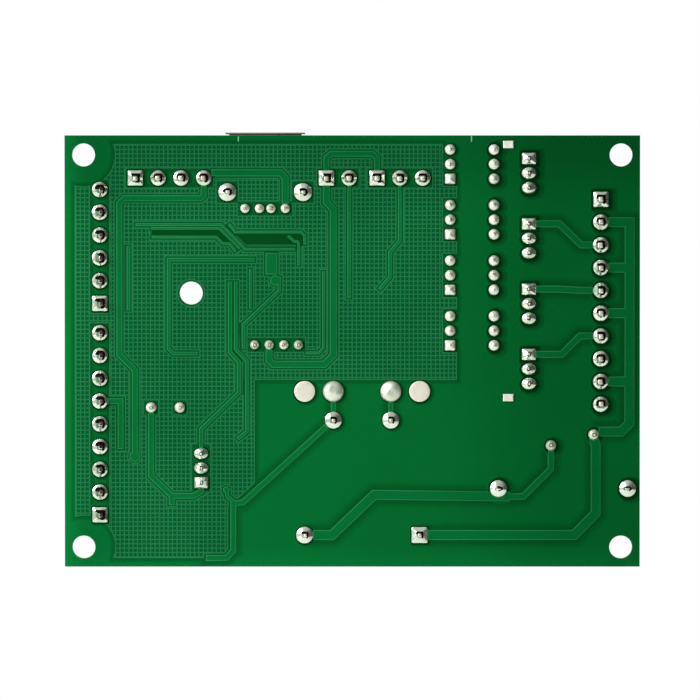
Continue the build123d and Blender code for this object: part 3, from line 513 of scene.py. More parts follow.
def hatch(node, looks):
    """The ground plane as it is: two sets of thin copper lines and a line round every edge."""
    points, rim = outline(node)
    pitch = looks.hatch_pitch * MM
    parts = [tidy(*ribbon(points, rim, [
        (-looks.mask_slope, 0.0), (0.0, looks.copper_height),
        (looks.hatch_line, looks.copper_height), (looks.hatch_line + looks.mask_slope, 0.0)]))]
    used = points[np.unique(rim)]
    off_corners = 1e-7
    for axis in (0, 1):
        low, high = used[:, 1 - axis].min(), used[:, 1 - axis].max()
        lines = np.arange(np.ceil(low / pitch), np.floor(high / pitch) + 1) * pitch + off_corners
        level, start, end = spans(points, rim, lines, axis)
        inset = 0.5 * looks.hatch_line * MM
        long_enough = end - start > 3 * inset
        # Each set lies 2 micrometres under the last, so that no two faces share a plane.
        parts.append(bars(
            level[long_enough], start[long_enough] + inset, end[long_enough] - inset, axis,
            looks.hatch_line, looks.copper_height - 0.002 * (1 + axis), looks.mask_slope))
    return joined(parts)


# ---------------------------------------------------------------- solder joints
def superellipse(half, power, angle):
    """Radius of |x / a|^n + |z / b|^n = 1 at each angle, for each pair of half widths."""
    power = power[:, None]
    x, z = np.abs(np.cos(angle)) / half[:, :1], np.abs(np.sin(angle)) / half[:, 1:]
    return (x ** power + z ** power) ** (-1 / power)


def joint_shadows(found, around=40):
    """A ring of painted shadow on the mask round each pad, with its share of painted shade as a
    fourth column. It is cast towards the lower right, and reaches further where the pad lies
    past the end of the copper plane. Its radius is the pad's superellipse, grown by a share of
    the reach."""
    plane_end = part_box("ground_plane")[1][0] / MM
    far, near = 0.95, 0.45
    centre, pad, _, square = (np.array(part) for part in zip(*found))
    power = np.where(square, 10.0, 2.0)
    reach = np.where(centre[:, :1] > plane_end, far, near)
    angle = np.linspace(0, 2 * pi, around, endpoint=False)
    # Each ring: its share of the reach, its drift to the lower right, its height and its share of
    # painted shade. The first lies under the pad, and the last closes the rim down to the board.
    plan = ((-0.2, 0, 0.034, 1.0), (0.3, 0.10, 0.031, 1.0), (0.6, 0.24, 0.028, 0.5),
            (1.0, 0.45, 0.024, 0.0), (1.02, 0.46, 0.002, 0.0))
    rings = []
    for part, drift, height, pool_and_shade in plan:
        radius = superellipse(pad + part * reach, power, angle)
        rings.append(np.stack([
            centre[:, :1] + radius * np.cos(angle) + drift * reach,
            np.full_like(radius, -height),
            centre[:, 1:] + radius * np.sin(angle) - 0.6 * drift * reach,
            np.full_like(radius, pool_and_shade / MM)], -1))
    points = np.stack(rings, 1).reshape(-1, 4) * MM
    faces = grid_faces(len(rings), around)[:, ::-1]
    return points, repeated(faces, len(rings) * around, len(found))


def joints(found, style, seed):
    """Solder joints on their pads, all at once. A ring of points at angle a runs at the radius
    of a superellipse, (|cos a / x|^n + |sin a / z|^n)^(-1/n): n is 2 on a round pad and 14 on
    a square one, whose sides the solder draws in a little between the corners. From the pad's
    rim (t = 0) to the lead (t = 1) the radius goes straight from one outline to the other, and
    the height is a thin wetted edge plus a hollow fillet, edge (1 - (1-t)^6) + rise t^hollow,
    blended with a full bead, rise sqrt(1 - (1-t)^2). The lead then stands out of the solder,
    with painted black shadow round its foot where the cosine of the angle from the shadow
    side is over a limit, and closes on a cut, slightly crowned end. The leads were bent over by
    different amounts across the board. The kinds are 0 for solder, 1 for lead and 2 for painted
    shadow."""
    rng = np.random.default_rng(seed)
    count, around = len(found), style["around"]
    centre, pad, lead, square = (np.array(part) for part in zip(*found))
    angle = np.linspace(0, 2 * pi, around, endpoint=False)
    pinch = 1 - 0.012 * square[:, None] * (1 + np.cos(4 * angle))
    outer = superellipse(pad, np.where(square, 14.0, 2.0), angle) * pinch
    inner = superellipse(lead, np.full(count, 5.0), angle)
    t = np.linspace(0, 1, style["steps"])[None, :, None]
    vary = rng.normal(0, 1, (count, 6))
    # Joint by joint each size varies by a share of itself.
    edge = style["edge"]
    rise = (style["rise"] * (1 + 0.12 * vary[:, 0]))[:, None, None]
    hollow = (style["hollow"] + 0.25 * vary[:, 1])[:, None, None]
    full = np.clip(style["full"] + 0.15 * vary[:, 2], 0, 1)[:, None, None]
    lobes = 1 + 0.10 * np.sin(angle * 2 + vary[:, 3:4] * 3)[:, None, :] * t * (1 - t) * 4
    fillet = edge * (1 - (1 - t) ** 6) + (rise - edge) * t ** hollow
    bead = rise * np.sqrt(1 - (1 - t) ** 2)
    height = ((1 - full) * fillet + full * bead) * lobes
    radius = outer[:, None, :] + (inner - outer)[:, None, :] * t
    top = height[:, -1:, :].mean(axis=2, keepdims=True)
    stem = style["tip"] * (1 + 0.25 * vary[:, 4])[:, None, None]
    # The bare lead: how far up it each ring lies, and its share of the lead's width there.
    climb = np.array([0.3, 0.75, 0.93, 1.0, 1.03, 1.04])[None, :, None]
    shrink = np.array([0.93, 0.78, 0.68, 0.56, 0.3, 0.05])[None, :, None]
    sunk = 0.03
    radius = np.concatenate([radius[:, :1, :], radius, inner[:, None, :] * shrink], 1)
    height = np.concatenate([height[:, :1, :] - sunk, height,
                             top + stem * climb + 0 * inner[:, None, :]], 1)
    rows = radius.shape[1]
    share = np.clip(height / (top + stem), 0, 1) ** 1.5
    lean = (np.array(style["lean"]) * (1 - centre[:, :1] / style["upright_at"])
            + 0.05 * vary[:, 4:6])
    x = centre[:, 0, None, None] + radius * np.cos(angle) + lean[:, 0, None, None] * share
    z = centre[:, 1, None, None] + radius * np.sin(angle) + lean[:, 1, None, None] * share
    points = np.stack([x, -height, z], -1).reshape(-1, 3) * MM
    faces = grid_faces(rows, around)
    band, column = np.divmod(np.arange(len(faces)), around)
    facing = (column + 0.5) * 2 * pi / around
    # Painted shadow: faces at the lead's foot, towards one side, take the black finish.
    painted_shadow = np.cos(facing - radians(SHADOW_SIDE) - 0.3 * vary[:, 5:6]) > style["lee"]
    painted_shadow &= vary[:, 3:4] > style["clean"]
    painted_shadow &= band >= rows - len(climb[0]) - style["shadow_rows"]
    kinds = np.where(band >= rows - style["crown"], 1, np.where(painted_shadow, 2, 0)).reshape(-1)
    ring = np.arange(around)[None]
    faces = [face for one in (faces, ring + (rows - 1) * around, ring[:, ::-1])
             for face in repeated(one, rows * around, count).tolist()]
    return points, faces, np.concatenate([kinds, np.full(count, 1), np.zeros(count, int)])


def read_joints(node, lead_default):
    """Centre, half pad and half lead of every joint, and whether its pad is square, read from
    the solids in millimetres. A low joint, or one with a wide top, shows no lead of its own
    and takes the default. A square pad has 4 points on the board. One with 6 is round, and its
    radius is the lesser half of its box."""
    level, shows_lead, widest_lead = 0.01, 0.85, 0.7
    found = []
    for solid in solids(node):
        flat, height = solid[:, [0, 2]] / MM, -solid[:, 1] / MM
        base, top = flat[height < level], flat[height > height.max() - level]
        low, high = base.min(0), base.max(0)
        lead = (top.max(0) - top.min(0)) / 2
        if height.max() < shows_lead or max(lead) > widest_lead:
            lead = np.array(lead_default)
        half = (high - low) / 2
        if len(base) == 6:
            half[:] = half.min()
        found.append(((low + high) / 2, half, lead, len(base) == 4))
    return found


def parted(found, test):
    """Joints in two lists: those that pass a test, and the rest."""
    return [f for f in found if test(f)], [f for f in found if not test(f)]


def with_lead(found, lead):
    """The same joints on round pads, each with a lead of the given half widths."""
    return [(f[0], f[1], np.array(lead), False) for f in found]


# The side of a lead on which its shadow is painted black, in degrees from +X.
SHADOW_SIDE = 48

# A joint has points around and steps from rim to lead. In millimetres, edge is the wetted rim,
# rise the solder's height at the lead, tip how far the lead stands out, and lean how far it is
# bent over at the middle of the board, none at x = upright_at. Hollow is the power of the
# fillet's curve, and full the share of bead. The key shadow_rows counts the rows of painted
# black shadow below the lead, lee limits them to one side, clean leaves them off some joints,
# and crown counts the rows of bare lead.
JOINT = dict(around=40, steps=16, edge=0.12, lean=(0.05, 0.0), upright_at=90.0, lee=-2.0,
             clean=-9.0, crown=3)
STYLES = {
    "header": dict(JOINT, edge=0.10, rise=0.70, hollow=1.9, full=0.04, tip=0.85,
                   lean=(0.11, 0.02), upright_at=25.0, shadow_rows=7, lee=-0.45),
    "post": dict(JOINT, rise=0.66, hollow=1.8, full=0.12, tip=0.75, lean=(-0.05, -0.05),
                 shadow_rows=6, lee=-0.45, crown=5),
    "usb": dict(JOINT, around=36, steps=14, rise=0.55, hollow=1.7, full=0.3, tip=0.15,
                shadow_rows=-1),
    "tab": dict(JOINT, around=48, steps=18, rise=0.75, hollow=1.6, full=0.2, tip=0.5,
                shadow_rows=6, lee=-0.5, crown=5),
    "triac": dict(JOINT, around=36, steps=14, edge=0.16, rise=0.72, hollow=1.4, full=0.35,
                  tip=0.45, lean=(0.05, 0.02), shadow_rows=1),
    "opto": dict(JOINT, around=28, steps=12, rise=0.55, hollow=1.3, full=0.6, tip=0.10,
                 lean=(0.04, 0.02), shadow_rows=1, lee=-0.2, clean=0.4),
    "power": dict(JOINT, rise=0.62, hollow=1.9, full=0.1, tip=0.8, shadow_rows=4, lee=-0.3,
                  crown=4),
    "small": dict(JOINT, around=28, steps=12, rise=0.60, hollow=1.4, full=0.4, tip=0.2,
                  lean=(0.04, 0.0), shadow_rows=-1),
    "dome": dict(JOINT, around=48, steps=20, edge=0.3, rise=0.92, hollow=1.0, full=0.95,
                 tip=0.0, lean=(0.0, 0.0), shadow_rows=-6),
    "disc": dict(JOINT, around=48, steps=14, edge=0.09, rise=0.10, hollow=1.0, full=0.0,
                 tip=0.0, lean=(0.0, 0.0), shadow_rows=-6),
}


class BoardLooks(bpy.types.PropertyGroup):
    """Sizes and colours of the solder side."""

    hatch_pitch: FloatProperty(name="Hatch pitch", description="Between copper lines, mm",
                               default=0.762, min=0.3)
    hatch_line: FloatProperty(name="Hatch line", description="Width of a copper line, mm",
                              default=0.14, min=0.05)
    copper_height: FloatProperty(name="Copper height", description="Over the laminate, mm",
                                 default=0.05, min=0.01)
    mask_slope: FloatProperty(name="Mask slope", description="Width of the mask's slope, mm",
                              default=0.05, min=0.0)
    mask: StringProperty(name="Mask", description="Mask on bare laminate, sRGB hex",
                         default="077A36")
    mask_drift: StringProperty(name="Mask drift", description="Its thinner places, sRGB hex",
                               default="09823B")
    seed: IntProperty(name="Seed", description="Varies the joints", default=7)


class StageLooks(bpy.types.PropertyGroup):
    """Camera and lamps."""

    distance: FloatProperty(name="Camera distance", description="From the board", default=1.2,
                            subtype="DISTANCE", unit="LENGTH")
    width: FloatProperty(name="View width", description="Seen at the board", default=0.1217,
                         subtype="DISTANCE", unit="LENGTH")
    elevation: FloatProperty(name="Elevation", description="Camera above the level",
                             default=radians(1.5), subtype="ANGLE")
    key: FloatProperty(name="Key lamp", description="Power of the upper left lamp, W",
                       default=2.5, min=0.0)
    back: FloatProperty(name="Back lamp", description="Power of the lamp on the parts, W",
                        default=9.0, min=0.0)
    ambient: FloatProperty(name="Ambient", description="Soft light from the upper left",
                           default=0.5)


# ---------------------------------------------------------------- operators
class BOARD_OT_stage(bpy.types.Operator):
    """Makes the camera, the lamps, the white surroundings and the floor."""

    bl_idname = "control_board.stage"
    bl_label = "Stage"

    def execute(self, context):
        scene = context.scene
        looks = scene.board_stage
        aside, above, under, floor_side = -0.0004, 0.0002, 0.13, 1.2
        scene.view_settings.view_transform = "Standard"
        lens = bpy.data.cameras.new("camera")
        lens.sensor_width = 36.0
        lens.lens = lens.sensor_width * looks.distance / looks.width
        lens.clip_end = 10.0
        camera = placed("camera", lens)
        camera.location = (aside, -looks.distance * cos(looks.elevation),
                           looks.distance * sin(looks.elevation) + above)
        camera.rotation_euler = (pi / 2 - looks.elevation, 0, 0)
        scene.camera = camera
        for name, power, size, at in (
            ("key", looks.key, 0.40, (-0.36, -0.33, 0.22)),
            ("back", looks.back, 0.6, (0.45, 0.80, 0.65)),
        ):
            lamp = bpy.data.lights.new(name, "AREA")
            lamp.energy = power
            lamp.size = size
            held = placed(name, lamp)
            held.location = at
            held.rotation_euler = (-held.location).to_track_quat("-Z", "Y").to_euler()
        self.surround(scene, looks)
        low = cad_bounds[0][2] - under
        corner = np.array([(-1, -1), (1, -1), (1, 1), (-1, 1)]) * floor_side / 2
        mesh = bpy.data.meshes.new("floor")
        mesh.from_pydata([(x, y, low) for x, y in corner], [], [(0, 1, 2, 3)])
        # Matt wall paint: an even white that holds a soft shadow and no gleam.
        mesh.materials.append(moulded("matt_white_paint", "E9E9E7", "F1F1EF", 0.8, 60.0, 0.8))
        floor = placed("floor", mesh)
        return {"FINISHED"}

    def surround(self, scene, looks):
        """White to the camera. Metal sees a bright side at the upper left and behind the
        board, and a dark room at the right."""
        world = bpy.data.worlds.new("studio")
        scene.world = world
        world.use_nodes = True
        tree = world.node_tree
        tree.nodes.clear()
        path = add(tree, "ShaderNodeLightPath")
        way = add(tree, "ShaderNodeTexCoord").outputs["Generated"]
        upper_left = (-0.76, -0.42, 0.36)
        lit = add(tree, "ShaderNodeVectorMath", {0: way, 1: upper_left},
                  operation="DOT_PRODUCT").outputs["Value"]
        lit = add(tree, "ShaderNodeMapRange", {"Value": lit, "From Min": -0.08, "From Max": 0.55,
                                               "To Min": 0.02, "To Max": looks.ambient},
                  interpolation_type="SMOOTHSTEP").outputs[0]
        behind = add(tree, "ShaderNodeSeparateXYZ", {"Vector": way}).outputs["Y"]
        behind = add(tree, "ShaderNodeMapRange", {"Value": behind, "From Min": 0.1,
                                                  "From Max": 0.6, "To Max": 0.75},
                     interpolation_type="SMOOTHSTEP").outputs[0]
        seen = add(tree, "ShaderNodeMath", {0: lit, 1: behind}, operation="MAXIMUM").outputs[0]
        white = add(tree, "ShaderNodeMath", {0: path.outputs["Is Camera Ray"],
                                             1: path.outputs["Is Transmission Ray"]},
                    operation="MAXIMUM").outputs[0]
        level = add(tree, "ShaderNodeMix", {0: white, 2: seen, 3: 1.0}).outputs[0]
        sky = add(tree, "ShaderNodeBackground", {"Color": (1, 1, 1, 1), "Strength": level})
        add(tree, "ShaderNodeOutputWorld", {"Surface": sky.outputs[0]})


class BOARD_OT_laminate(bpy.types.Operator):
    """Finishes the laminate and its tracks, and lays the crosshatched ground plane."""

    bl_idname = "control_board.laminate"
    bl_label = "Laminate and copper"

    def execute(self, context):
        looks = context.scene.board_looks
        paint("circuit_board", mask_on_laminate("solder_mask_on_glass_epoxy", looks))
        # Over copper the mask has no weave under it: an even, slightly cooler green.
        paint("solder_side_tracks",
              mask_coat("solder_mask_on_track", "07803D", "098743", (0.32, 0.44, 0.42)))
        points, rim = outline("solder_side_tracks")
        height = -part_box("solder_side_tracks")[0][1] / MM
        # Mask runs thin over a track's edge, so bright copper shows through as a pale line.
        put("track_edges", *tidy(*ribbon(points, rim, [
            (-0.08, 0.0), (0.02, height + 0.006), (0.10, height + 0.002)])), [
            mask_coat("mask_over_track_edge", "2B9453", "339C5B", (0.45, 0.5, 0.5))],
            slot="masked_copper")
        # Painted shade beside the tracks and round the plane's copper, darkest next to it, partly
        # the mask gathered thicker there.
        pooling_and_shade_mask = mask_with_painted_shade("mask_pooled_and_shaded_by_copper", looks)
        put_pooled_shade("track_pools_and_shade", *pooled_shade(points, rim, ((1.5, 0.0), (0.75, 0.34), (0.04, 0.5))),
                  pooling_and_shade_mask)
        put_pooled_shade("plane_pools_and_shade", *pooled_shade(*outline("ground_plane"), ((0.72, 0.22), (0.04, 0.5))),
                  pooling_and_shade_mask)
        self.patches(*corners("circuit_board"))
        # In the windows the mask lies on bare laminate between the raised lines. Its dark green is
        # partly painted shade of the lines, and its rim, reaching into the openings, is painted
        # shade round the pads and tracks.
        put("ground_plane_shade", *shade("ground_plane", 0.03, 0.3), [
            mask_coat("solder_mask_in_window", "056432", "066C37", (0.5, 0.5, 0.5))],
            smooth=False, slot="masked_copper")
        # On the fine lines it is thin: paler and greyer than on a track.
        put("ground_plane_hatch", *hatch("ground_plane", looks), [
            mask_coat("solder_mask_on_hatch", "24874F", "2C9056", (0.5, 0.5, 0.5))],
            smooth=False, replaced=["ground_plane"], slot="masked_copper")
        return {"FINISHED"}

    def patches(self, low, high):
        """Flat patches just over the laminate, each a run of corners across and down from the
        board's upper left corner, in millimetres: the stubs of two plating bars, and two long
        strips without hatch."""
        half = 0.09
        stubs = [((x - half, top), (x + half, top), (x + half, end), (x - half, end))
                 for x, top, end in ((70.7, 0.05, 1.1), (30.2, 0.2, 1.1))]
        strips = [((15.2, 16.3), (26.9, 16.3), (29.6, 18.9), (27.6, 18.6), (26.4, 17.5),
                   (15.2, 17.5)),
                  ((29.6, 17.0), (41.5, 17.0), (41.5, 19.0), (40.6, 19.6), (31.5, 19.6))]
        for name, plan, over, made, slot in (
            # A sliver of bare copper at the sawn edge shines through: very pale.
            ("plating_bar_stubs", stubs, 0.012,
             mask_coat("mask_on_plating_bar", "79C792", "8FD2A3", (0.8, 0.85, 0.85)),
             "masked_copper"),
            # The mask on these strips is given the darkest green of the side.
            ("bare_strips", strips, 0.02,
             mask_coat("solder_mask_on_bare_strip", "034E1E", "045522", (0.6, 0.6, 0.6)),
             "green_laminate"),
        ):
            ends = np.cumsum([0] + [len(patch) for patch in plan])
            flat = np.array([corner for patch in plan for corner in patch]) * MM
            shape = np.column_stack([low[0] + flat[:, 0], np.full(len(flat), low[1] - over * MM),
                                     high[2] - flat[:, 1]])
            put(name, shape, [list(range(a, b))[::-1] for a, b in zip(ends, ends[1:])], [made],
                smooth=False, slot=slot)


class BOARD_OT_joints(bpy.types.Operator):
    """Makes every solder joint, dome and tinned disc of the solder side."""

    bl_idname = "control_board.joints"
    bl_label = "Solder joints"

    def execute(self, context):
        looks = context.scene.board_looks
        # Tin-lead solder sets bright, with a faint cloud of oxide.
        solder = metal("tin_lead_solder", "F0FCEA", "D9E6D0", 0.18, 1.6, 0.8, 0.004, bare=0.86)
        # On small joints it cools fast, and sets softer and milky.
        milky = metal("milky_solder", "F4FBE8", "E4ECD6", 0.34, 1.2, 0.5, 0.006, bare=0.66)
        # The cutter leaves fresh, scored metal on a lead's end: a pale, broken shine.
        cut = metal("cut_brass_lead", "FFFCEC", "DCD4BC", 0.42, 2.0, 0.08, 0.01)
        # Brass that was cut long before has gone brown, and nearly black in its dips.
        brown = metal("oxidised_brass_lead", "6E574A", "2A1C16", 0.45, 0.5, 0.08, 0.01)
        # Painted shadow at the lead's foot, on one side: black, and almost without a shine.
        painted_shadow = surface("painted_lead_shadow", "0B0805", "17100A", 0.6, 0.5, 0.2, 0.01,
                       Specular_IOR_Level=0.06)
        clean, old, pale = [solder, cut, painted_shadow], [solder, brown, painted_shadow], [milky, cut, painted_shadow]
        header = read_joints("solder_header_joints", (0.57, 0.57))
        usb = read_joints("solder_usb_joints", (0.24, 0.24))
        triac = read_joints("solder_triac_joints", (0.25, 0.4))
        opto = read_joints("solder_opto_joints", (0.2, 0.3))
        small = read_joints("solder_small_joints", (0.32, 0.32))
        power = read_joints("solder_power_joints", (0.4, 0.4))
        discs = with_lead(read_joints("tinned_pads", (0.3, 0.3)), (0.3, 0.3))
        every = header + usb + triac + opto + small
        # Half widths of pads, in millimetres, that tell the joints of one node apart.
        thin_pad, wide_pad, dome_pad = 1.1, 1.2, 1.8
        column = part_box("upper_left_header_posts")[1][0] / MM + 1
        posts, header = parted(header, lambda f: f[0][0] > column)
        tabs, usb = parted(usb, lambda f: f[1].max() > wide_pad)
        regulator, small = parted(small, lambda f: f[1].max() > wide_pad)
        domes, power = parted(power, lambda f: f[1].max() >= dome_pad)
        thin, power = parted(power, lambda f: f[1].max() < thin_pad)
        for name, found, style, draw, finishes in (
            ("solder_bright_posts", posts, "post", 5, clean),
            ("solder_header_joints", header, "header", 0, old),
            ("solder_shell_tabs", with_lead(tabs, (0.5, 0.36)), "tab", 8, clean),
            ("solder_usb_joints", usb, "usb", 1, pale),
            ("solder_triac_joints", triac, "triac", 2, clean),
            ("solder_opto_joints", opto, "opto", 3, pale),
            ("solder_regulator", regulator, "triac", 6, clean),
            ("solder_small_joints", small, "small", 4, pale),
            ("solder_thin_leads", thin, "small", 7, pale),
            ("solder_power_joints", power, "power", 9, clean),
            ("solder_domes", with_lead(domes, (0.25, 0.25)), "dome", 10, [milky, cut]),
        ):
            stands_for = [name] if name in frame["nodes"] else []
            points, faces, kinds = joints(found, STYLES[style], looks.seed + draw)
            put(name + "_detail" * len(stands_for), points, faces, finishes, kinds,
                replaced=stands_for, slot="solder")
        # Painted shadow of the joints on the mask round their pads, cast to the lower right.
        put_pooled_shade("painted_joint_shadows", *joint_shadows(every + thin + power + domes + discs),
                  mask_with_painted_shade("mask_with_painted_joint_shadow", looks))
        # Levelled with hot air: thin, flat tin, satin and nearly white.
        tin = metal("hot_tin_levelled_pad", "F9F6E6", "EEEBD8", 0.4, 2.0, 0.3, 0.004, bare=0.4)
        points, faces, kinds = joints(discs, STYLES["disc"], looks.seed + 11)
        put("tinned_discs", points, faces, [tin] * 2, kinds, replaced=["tinned_pads"],
            slot="solder")
        # Dipped tin on the sink's tabs: as pale, with a slight ripple.
        tin = metal("hot_dipped_tab", "FFFBF0", "F4F0E2", 0.4, 0.8, 0.3, 0.006, bare=0.4)
        points = welded("heat_sink")[0]
        ends = points[points[:, 1] < -0.1 * MM]
        upper = ends[:, 2] > ends[:, 2].mean()
        self.cap("upper_tab_tin", ends[upper], tin)
        self.cap("lower_tab_tin", ends[~upper], tin)
        return {"FINISHED"}

    def cap(self, name, end, made):
        """A skin of tin over a tab's end: a ring of four corners at the board, one at the end,
        and one a little past it, drawn in and closed."""
        low, high = end.min(0), end.max(0)
        skin, crown, drop = 0.03 * MM, 0.12 * MM, 0.05 * MM
        rings = []
        for grown, at in ((skin, 0.0), (skin, low[1]), (skin - crown, low[1] - drop)):
            x0, x1, z0, z1 = low[0] - grown, high[0] + grown, low[2] - grown, high[2] + grown
            rings += [(x0, at, z0), (x1, at, z0), (x1, at, z1), (x0, at, z1)]
        faces = grid_faces(3, 4).tolist() + [[8, 9, 10, 11]]
        put(name, np.array(rings), faces, [made], smooth=False, slot="solder")


class BOARD_OT_connectors(bpy.types.Operator):
    """Finishes the headers, the receptacle and the programming header."""

    bl_idname = "control_board.connectors"
    bl_label = "Connectors"

    def execute(self, context):
        # Natural nylon 66: warm white, with the soft shine of a moulded skin.
        nylon = moulded("nylon_66_moulding", "E9E6DA", "F2F0E7", 0.45, 5.0, 0.15, 0.004)
        # Black PBT: a touch blue, and half matt from the tool's spark-eroded face.
        pbt = moulded("black_pbt_moulding", "15161A", "1E2025", 0.42, 8.0, 0.2, 0.006)
        # Tin plate: silvery, a little yellow, and smooth.
        tinned = metal("tin_plated_brass", "CFCBBE", "B5B0A2", 0.25, 1.0, 0.1)
        # Nickel plate: harder and brighter than tin.
        nickel = metal("nickel_plated_steel", "C9C7C2", "AFADA8", 0.22, 2.0, 0.15)
        for node in frame["nodes"]:
            if node.endswith("_housing"):
                softened(node, nylon, 0.22)
            elif node.endswith("_posts"):
                softened(node, tinned, 0.2, 1)
        softened("program_header_strip", pbt, 0.15)
        softened("program_header_pins", tinned, 0.12, 1)
        softened("usb_shell", nickel, 0.12)
        softened("usb_insulator", pbt, 0.12)
        paint("usb_contacts", tinned)
        return {"FINISHED"}


class BOARD_OT_power(bpy.types.Operator):
    """Finishes the optocouplers, the triacs, the regulator and the heat sink."""

    bl_idname = "control_board.power"
    bl_label = "Power parts"

    def execute(self, context):
        # Moulding compound full of silica: grey-black and quite matt.
        epoxy = moulded("black_epoxy_moulding", "17181A", "222326", 0.55, 3.0, 0.10, 0.008)
        # Tinned copper: dull silver.
        tinned = metal("tinned_copper_lead", "CFCBBE", "B5B0A2", 0.25, 1.0, 0.1)
        # Nickel on stamped copper: cool, and rubbed to a satin.
        nickel = metal("nickel_plated_copper_tab", "B9BBBD", "9FA2A5", 0.34, 1.5, 0.12)
        # Zinc plate passivated clear: bluish.
        zinc = metal("zinc_plated_steel", "BFC3C6", "9EA3A8", 0.3, 1.0, 0.1)
        # Extruded aluminium: die lines up the fins draw the highlight out along them.
        mill = metal("extruded_aluminium", "BDC0C3", "A7ABAF", 0.32, 0.8, 0.12, 0.006,
                     (1, 1, 0.02))
        for node in frame["nodes"]:
            if node.startswith(("opto_", "triac_", "regulator_")) and node.endswith("_case"):
                softened(node, epoxy, 0.16)
            elif node.endswith("_tab"):
                softened(node, nickel, 0.1)
        softened("opto_leads", tinned, 0.05, 1)
        softened("triac_screws", zinc, 0.25)
        softened("heat_sink", mill, 0.16)
        return {"FINISHED"}


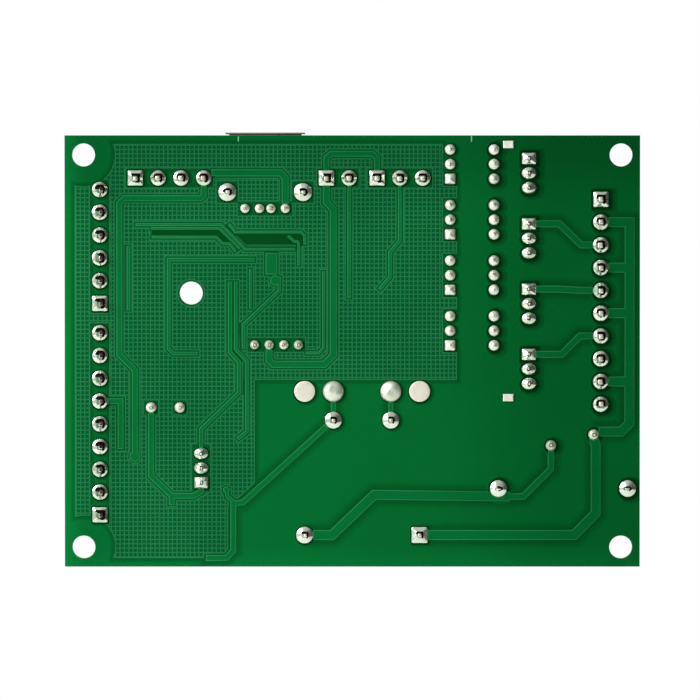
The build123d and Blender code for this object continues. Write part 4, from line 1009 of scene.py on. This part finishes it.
class BOARD_OT_mains(bpy.types.Operator):
    """Finishes the transformer, the fuse, the varistor and the capacitor."""

    bl_idname = "control_board.mains"
    bl_label = "Mains parts"

    def execute(self, context):
        # Glass-filled PBT: black, with the fibres just roughening its skin.
        pbt = moulded("glass_filled_pbt", "16171A", "202227", 0.46, 8.0, 0.2, 0.008)
        # Potting resin: brown-black and glossy, as it set level.
        resin = moulded("potting_resin", "231F1C", "2E2925", 0.3, 5.0, 0.5, 0.01)
        # Tinned steel wire: silvery.
        tinned = metal("tinned_steel_wire", "CFCBBE", "B5B0A2", 0.25, 1.0, 0.1)
        # Nickel on drawn brass: bright, with soft reflections.
        nickel = metal("nickel_plated_brass", "C9C7C2", "AFADA8", 0.22, 2.0, 0.15)
        softened("transformer_case", pbt, 0.5, 3)
        softened("fuse_base", pbt, 0.2)
        softened("fuse_clips", tinned, 0.08)
        for node, made in (("transformer_resin", resin), ("transformer_pins", tinned),
                           ("capacitor_leads", tinned), ("varistor_leads", tinned)):
            paint(node, made)
        self.fuse(nickel)
        self.varistor()
        self.capacitor()
        return {"FINISHED"}

    def fuse(self, nickel):
        """A glass tube with a wire along it, and a drawn cap pressed over each end."""
        low, high = corners("fuse_caps")
        length, _, height = (high - low) / MM
        radius = height / 2
        start, end = ((corner[0] - low[0]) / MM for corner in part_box("fuse_glass"))
        origin = np.array([low[0], *(low + high)[1:] / 2])
        along, across = (1, 0, 0), (0, 1, 0)
        cap = [(0, 0), (radius - 0.9, 0), (radius - 0.45, 0.08), (radius - 0.12, 0.35),
               (radius, 0.8), (radius, start - 0.3), (radius - 0.05, start - 0.05),
               (radius - 0.25, start), (0, start)]
        bands = np.zeros(len(cap) - 1, int)
        put_turned("fuse_cap_left", cap, bands, origin, along, across, [nickel],
                   slot="nickel_steel", replaced=["fuse_caps"])
        put_turned("fuse_cap_right", cap, bands, origin + [length * MM, 0, 0], (-1, 0, 0),
                   across, [nickel], slot="nickel_steel")
        glass, wall = radius - 0.2, 0.6
        tube = [(glass - wall, start), (glass - 0.03, start), (glass, start + 0.1),
                (glass, end - 0.1), (glass - 0.03, end), (glass - wall, end),
                (glass - wall, start)]
        put_turned("fuse_tube", tube, np.zeros(6, int), origin, along, across,
                   [clear_glass("soda_lime_glass")], poles=False, replaced=["fuse_glass"],
                   slot="fuse_glass")
        # The wire is wound as a fine ripple: its radius is a sine of the way along it.
        run = np.linspace(start - 0.2, end + 0.2, 60)
        wire = [(0, run[0]), *((0.14 + 0.02 * sin(9 * x), x) for x in run), (0, run[-1])]
        put_turned("fuse_wire", wire, np.zeros(len(wire) - 1, int), origin, along, across,
                   [metal("tinned_fuse_wire", "D8D3C4", "B9B3A4")], 12, slot="nickel_steel")

    def varistor(self):
        """A ceramic disc dipped in blue epoxy, thick in the middle and round at its rim."""
        low, high = corners("varistor_disc")
        radius, _, half = (high - low) / 2 / MM
        flat = radius - half * 0.75
        rim = [(flat + half * 0.75 * sin(a), -half * 0.86 * cos(a))
               for a in np.linspace(0, pi, 25)]
        face = [(0, -half), (flat * 0.5, -half * 0.985), (flat * 0.85, -half * 0.92)]
        profile = [*face, *rim, *((r, -z) for r, z in reversed(face))]
        # Dipped epoxy: a deep blue that looks wet, uneven where it ran.
        lacquer = moulded("blue_epoxy_lacquer", "1D4C9A", "2458AB", 0.22, 3.0, 0.6, 0.02)
        put_turned("varistor_coat", profile, np.zeros(len(profile) - 1, int),
                   (low + high) / 2, (0, 0, 1), (1, 0, 0), [lacquer], 64,
                   replaced=["varistor_disc"], slot="varistor_lacquer")

    def capacitor(self):
        """An aluminium can in a shrunk sleeve: crimped over its bung near the foot, and with
        a bare, scored top inside the sleeve's turned-in rim."""
        low, high = corners("capacitor_can")
        r, length = (high - low)[0] / 2 / MM, (high - low)[1] / MM
        bung = [(0, 0.35), (r - 2.2, 0.35), (r - 1.6, 0.3)]
        sleeve = [(r - 1.5, 0.02), (r - 0.4, 0), (r - 0.08, 0.25), (r, 0.7), (r, 1.9),
                  (r - 0.12, 2.2), (r - 0.42, 2.5), (r - 0.5, 2.75), (r - 0.42, 3.0),
                  (r - 0.12, 3.3), (r, 3.6), (r, length - 0.55), (r - 0.12, length - 0.2),
                  (r - 0.4, length - 0.02), (r - 0.8, length), (r - 1.15, length - 0.05)]
        top = [(r - 1.2, length - 0.14), (r * 0.5, length - 0.1), (0, length - 0.1)]
        kinds = [1] * len(bung) + [0] * (len(sleeve) - 1) + [2] * len(top)
        middle = (low + high) / 2
        put_turned("capacitor_body", [*bung, *sleeve, *top], kinds,
                   np.array([middle[0], low[1], middle[2]]), (0, 1, 0), (1, 0, 0), [
                       # Shrunk PVC: dark and softly glossy.
                       moulded("pvc_sleeve", "15181F", "1D2230", 0.3, 6.0, 0.4, 0.004),
                       # Butyl rubber: dull black.
                       moulded("rubber_bung", "1B1B1B", "262626", 0.7, 2.0, 0.2, 0.02),
                       # The can's own end: pale, softly bright.
                       metal("bare_aluminium", "C9CBCD", "B4B7BA", 0.3, 2.0, 0.2)],
                   64, replaced=["capacitor_can"], slot="capacitor_sleeve")


class BOARD_OT_small(bpy.types.Operator):
    """Finishes the surface-mounted parts."""

    bl_idname = "control_board.small"
    bl_label = "Small parts"

    def execute(self, context):
        # Fine-grained epoxy: smoother than that of the power cases.
        epoxy = moulded("fine_epoxy_moulding", "17181A", "222326", 0.5, 3.0, 0.08, 0.006)
        # Drawn nickel silver: bright and even.
        nickel = metal("drawn_nickel_silver", "C9C7C2", "AFADA8", 0.2, 2.0, 0.15)
        softened("controller_case", epoxy, 0.1)
        softened("bridge_rectifier", epoxy, 0.15)
        softened("crystal", nickel, 0.3, 3)
        softened("chip_resistors", epoxy, 0.06)
        return {"FINISHED"}


def paint(node, made):
    """Gives a CAD node a finish."""
    mesh = frame["nodes"][node].data
    mesh.materials.clear()
    mesh.materials.append(made)


class BOARD_PT_panel(bpy.types.Panel):
    """Lists the settings and the steps."""

    bl_idname = "BOARD_PT_panel"
    bl_label = "Control board"
    bl_space_type = "VIEW_3D"
    bl_region_type = "UI"
    bl_category = "Control board"

    def draw(self, context):
        for group in (context.scene.board_looks, context.scene.board_stage):
            for name in group.bl_rna.properties.keys():
                if name not in ("rna_type", "name"):
                    self.layout.prop(group, name)
        for step in STEPS:
            self.layout.operator(step.bl_idname)


STEPS = (BOARD_OT_stage, BOARD_OT_laminate, BOARD_OT_joints, BOARD_OT_connectors,
         BOARD_OT_power, BOARD_OT_mains, BOARD_OT_small)
CLASSES = (BoardLooks, StageLooks, *STEPS, BOARD_PT_panel)


def register():
    for made in CLASSES:
        bpy.utils.register_class(made)
    bpy.types.Scene.board_looks = PointerProperty(type=BoardLooks)
    bpy.types.Scene.board_stage = PointerProperty(type=StageLooks)


def unregister():
    del bpy.types.Scene.board_stage
    del bpy.types.Scene.board_looks
    for made in reversed(CLASSES):
        bpy.utils.unregister_class(made)


def main():
    """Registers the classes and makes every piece."""
    register()
    bpy.ops.control_board.stage()
    bpy.ops.control_board.laminate()
    bpy.ops.control_board.joints()
    bpy.ops.control_board.connectors()
    bpy.ops.control_board.power()
    bpy.ops.control_board.mains()
    bpy.ops.control_board.small()


if __name__ == "__main__":
    main()
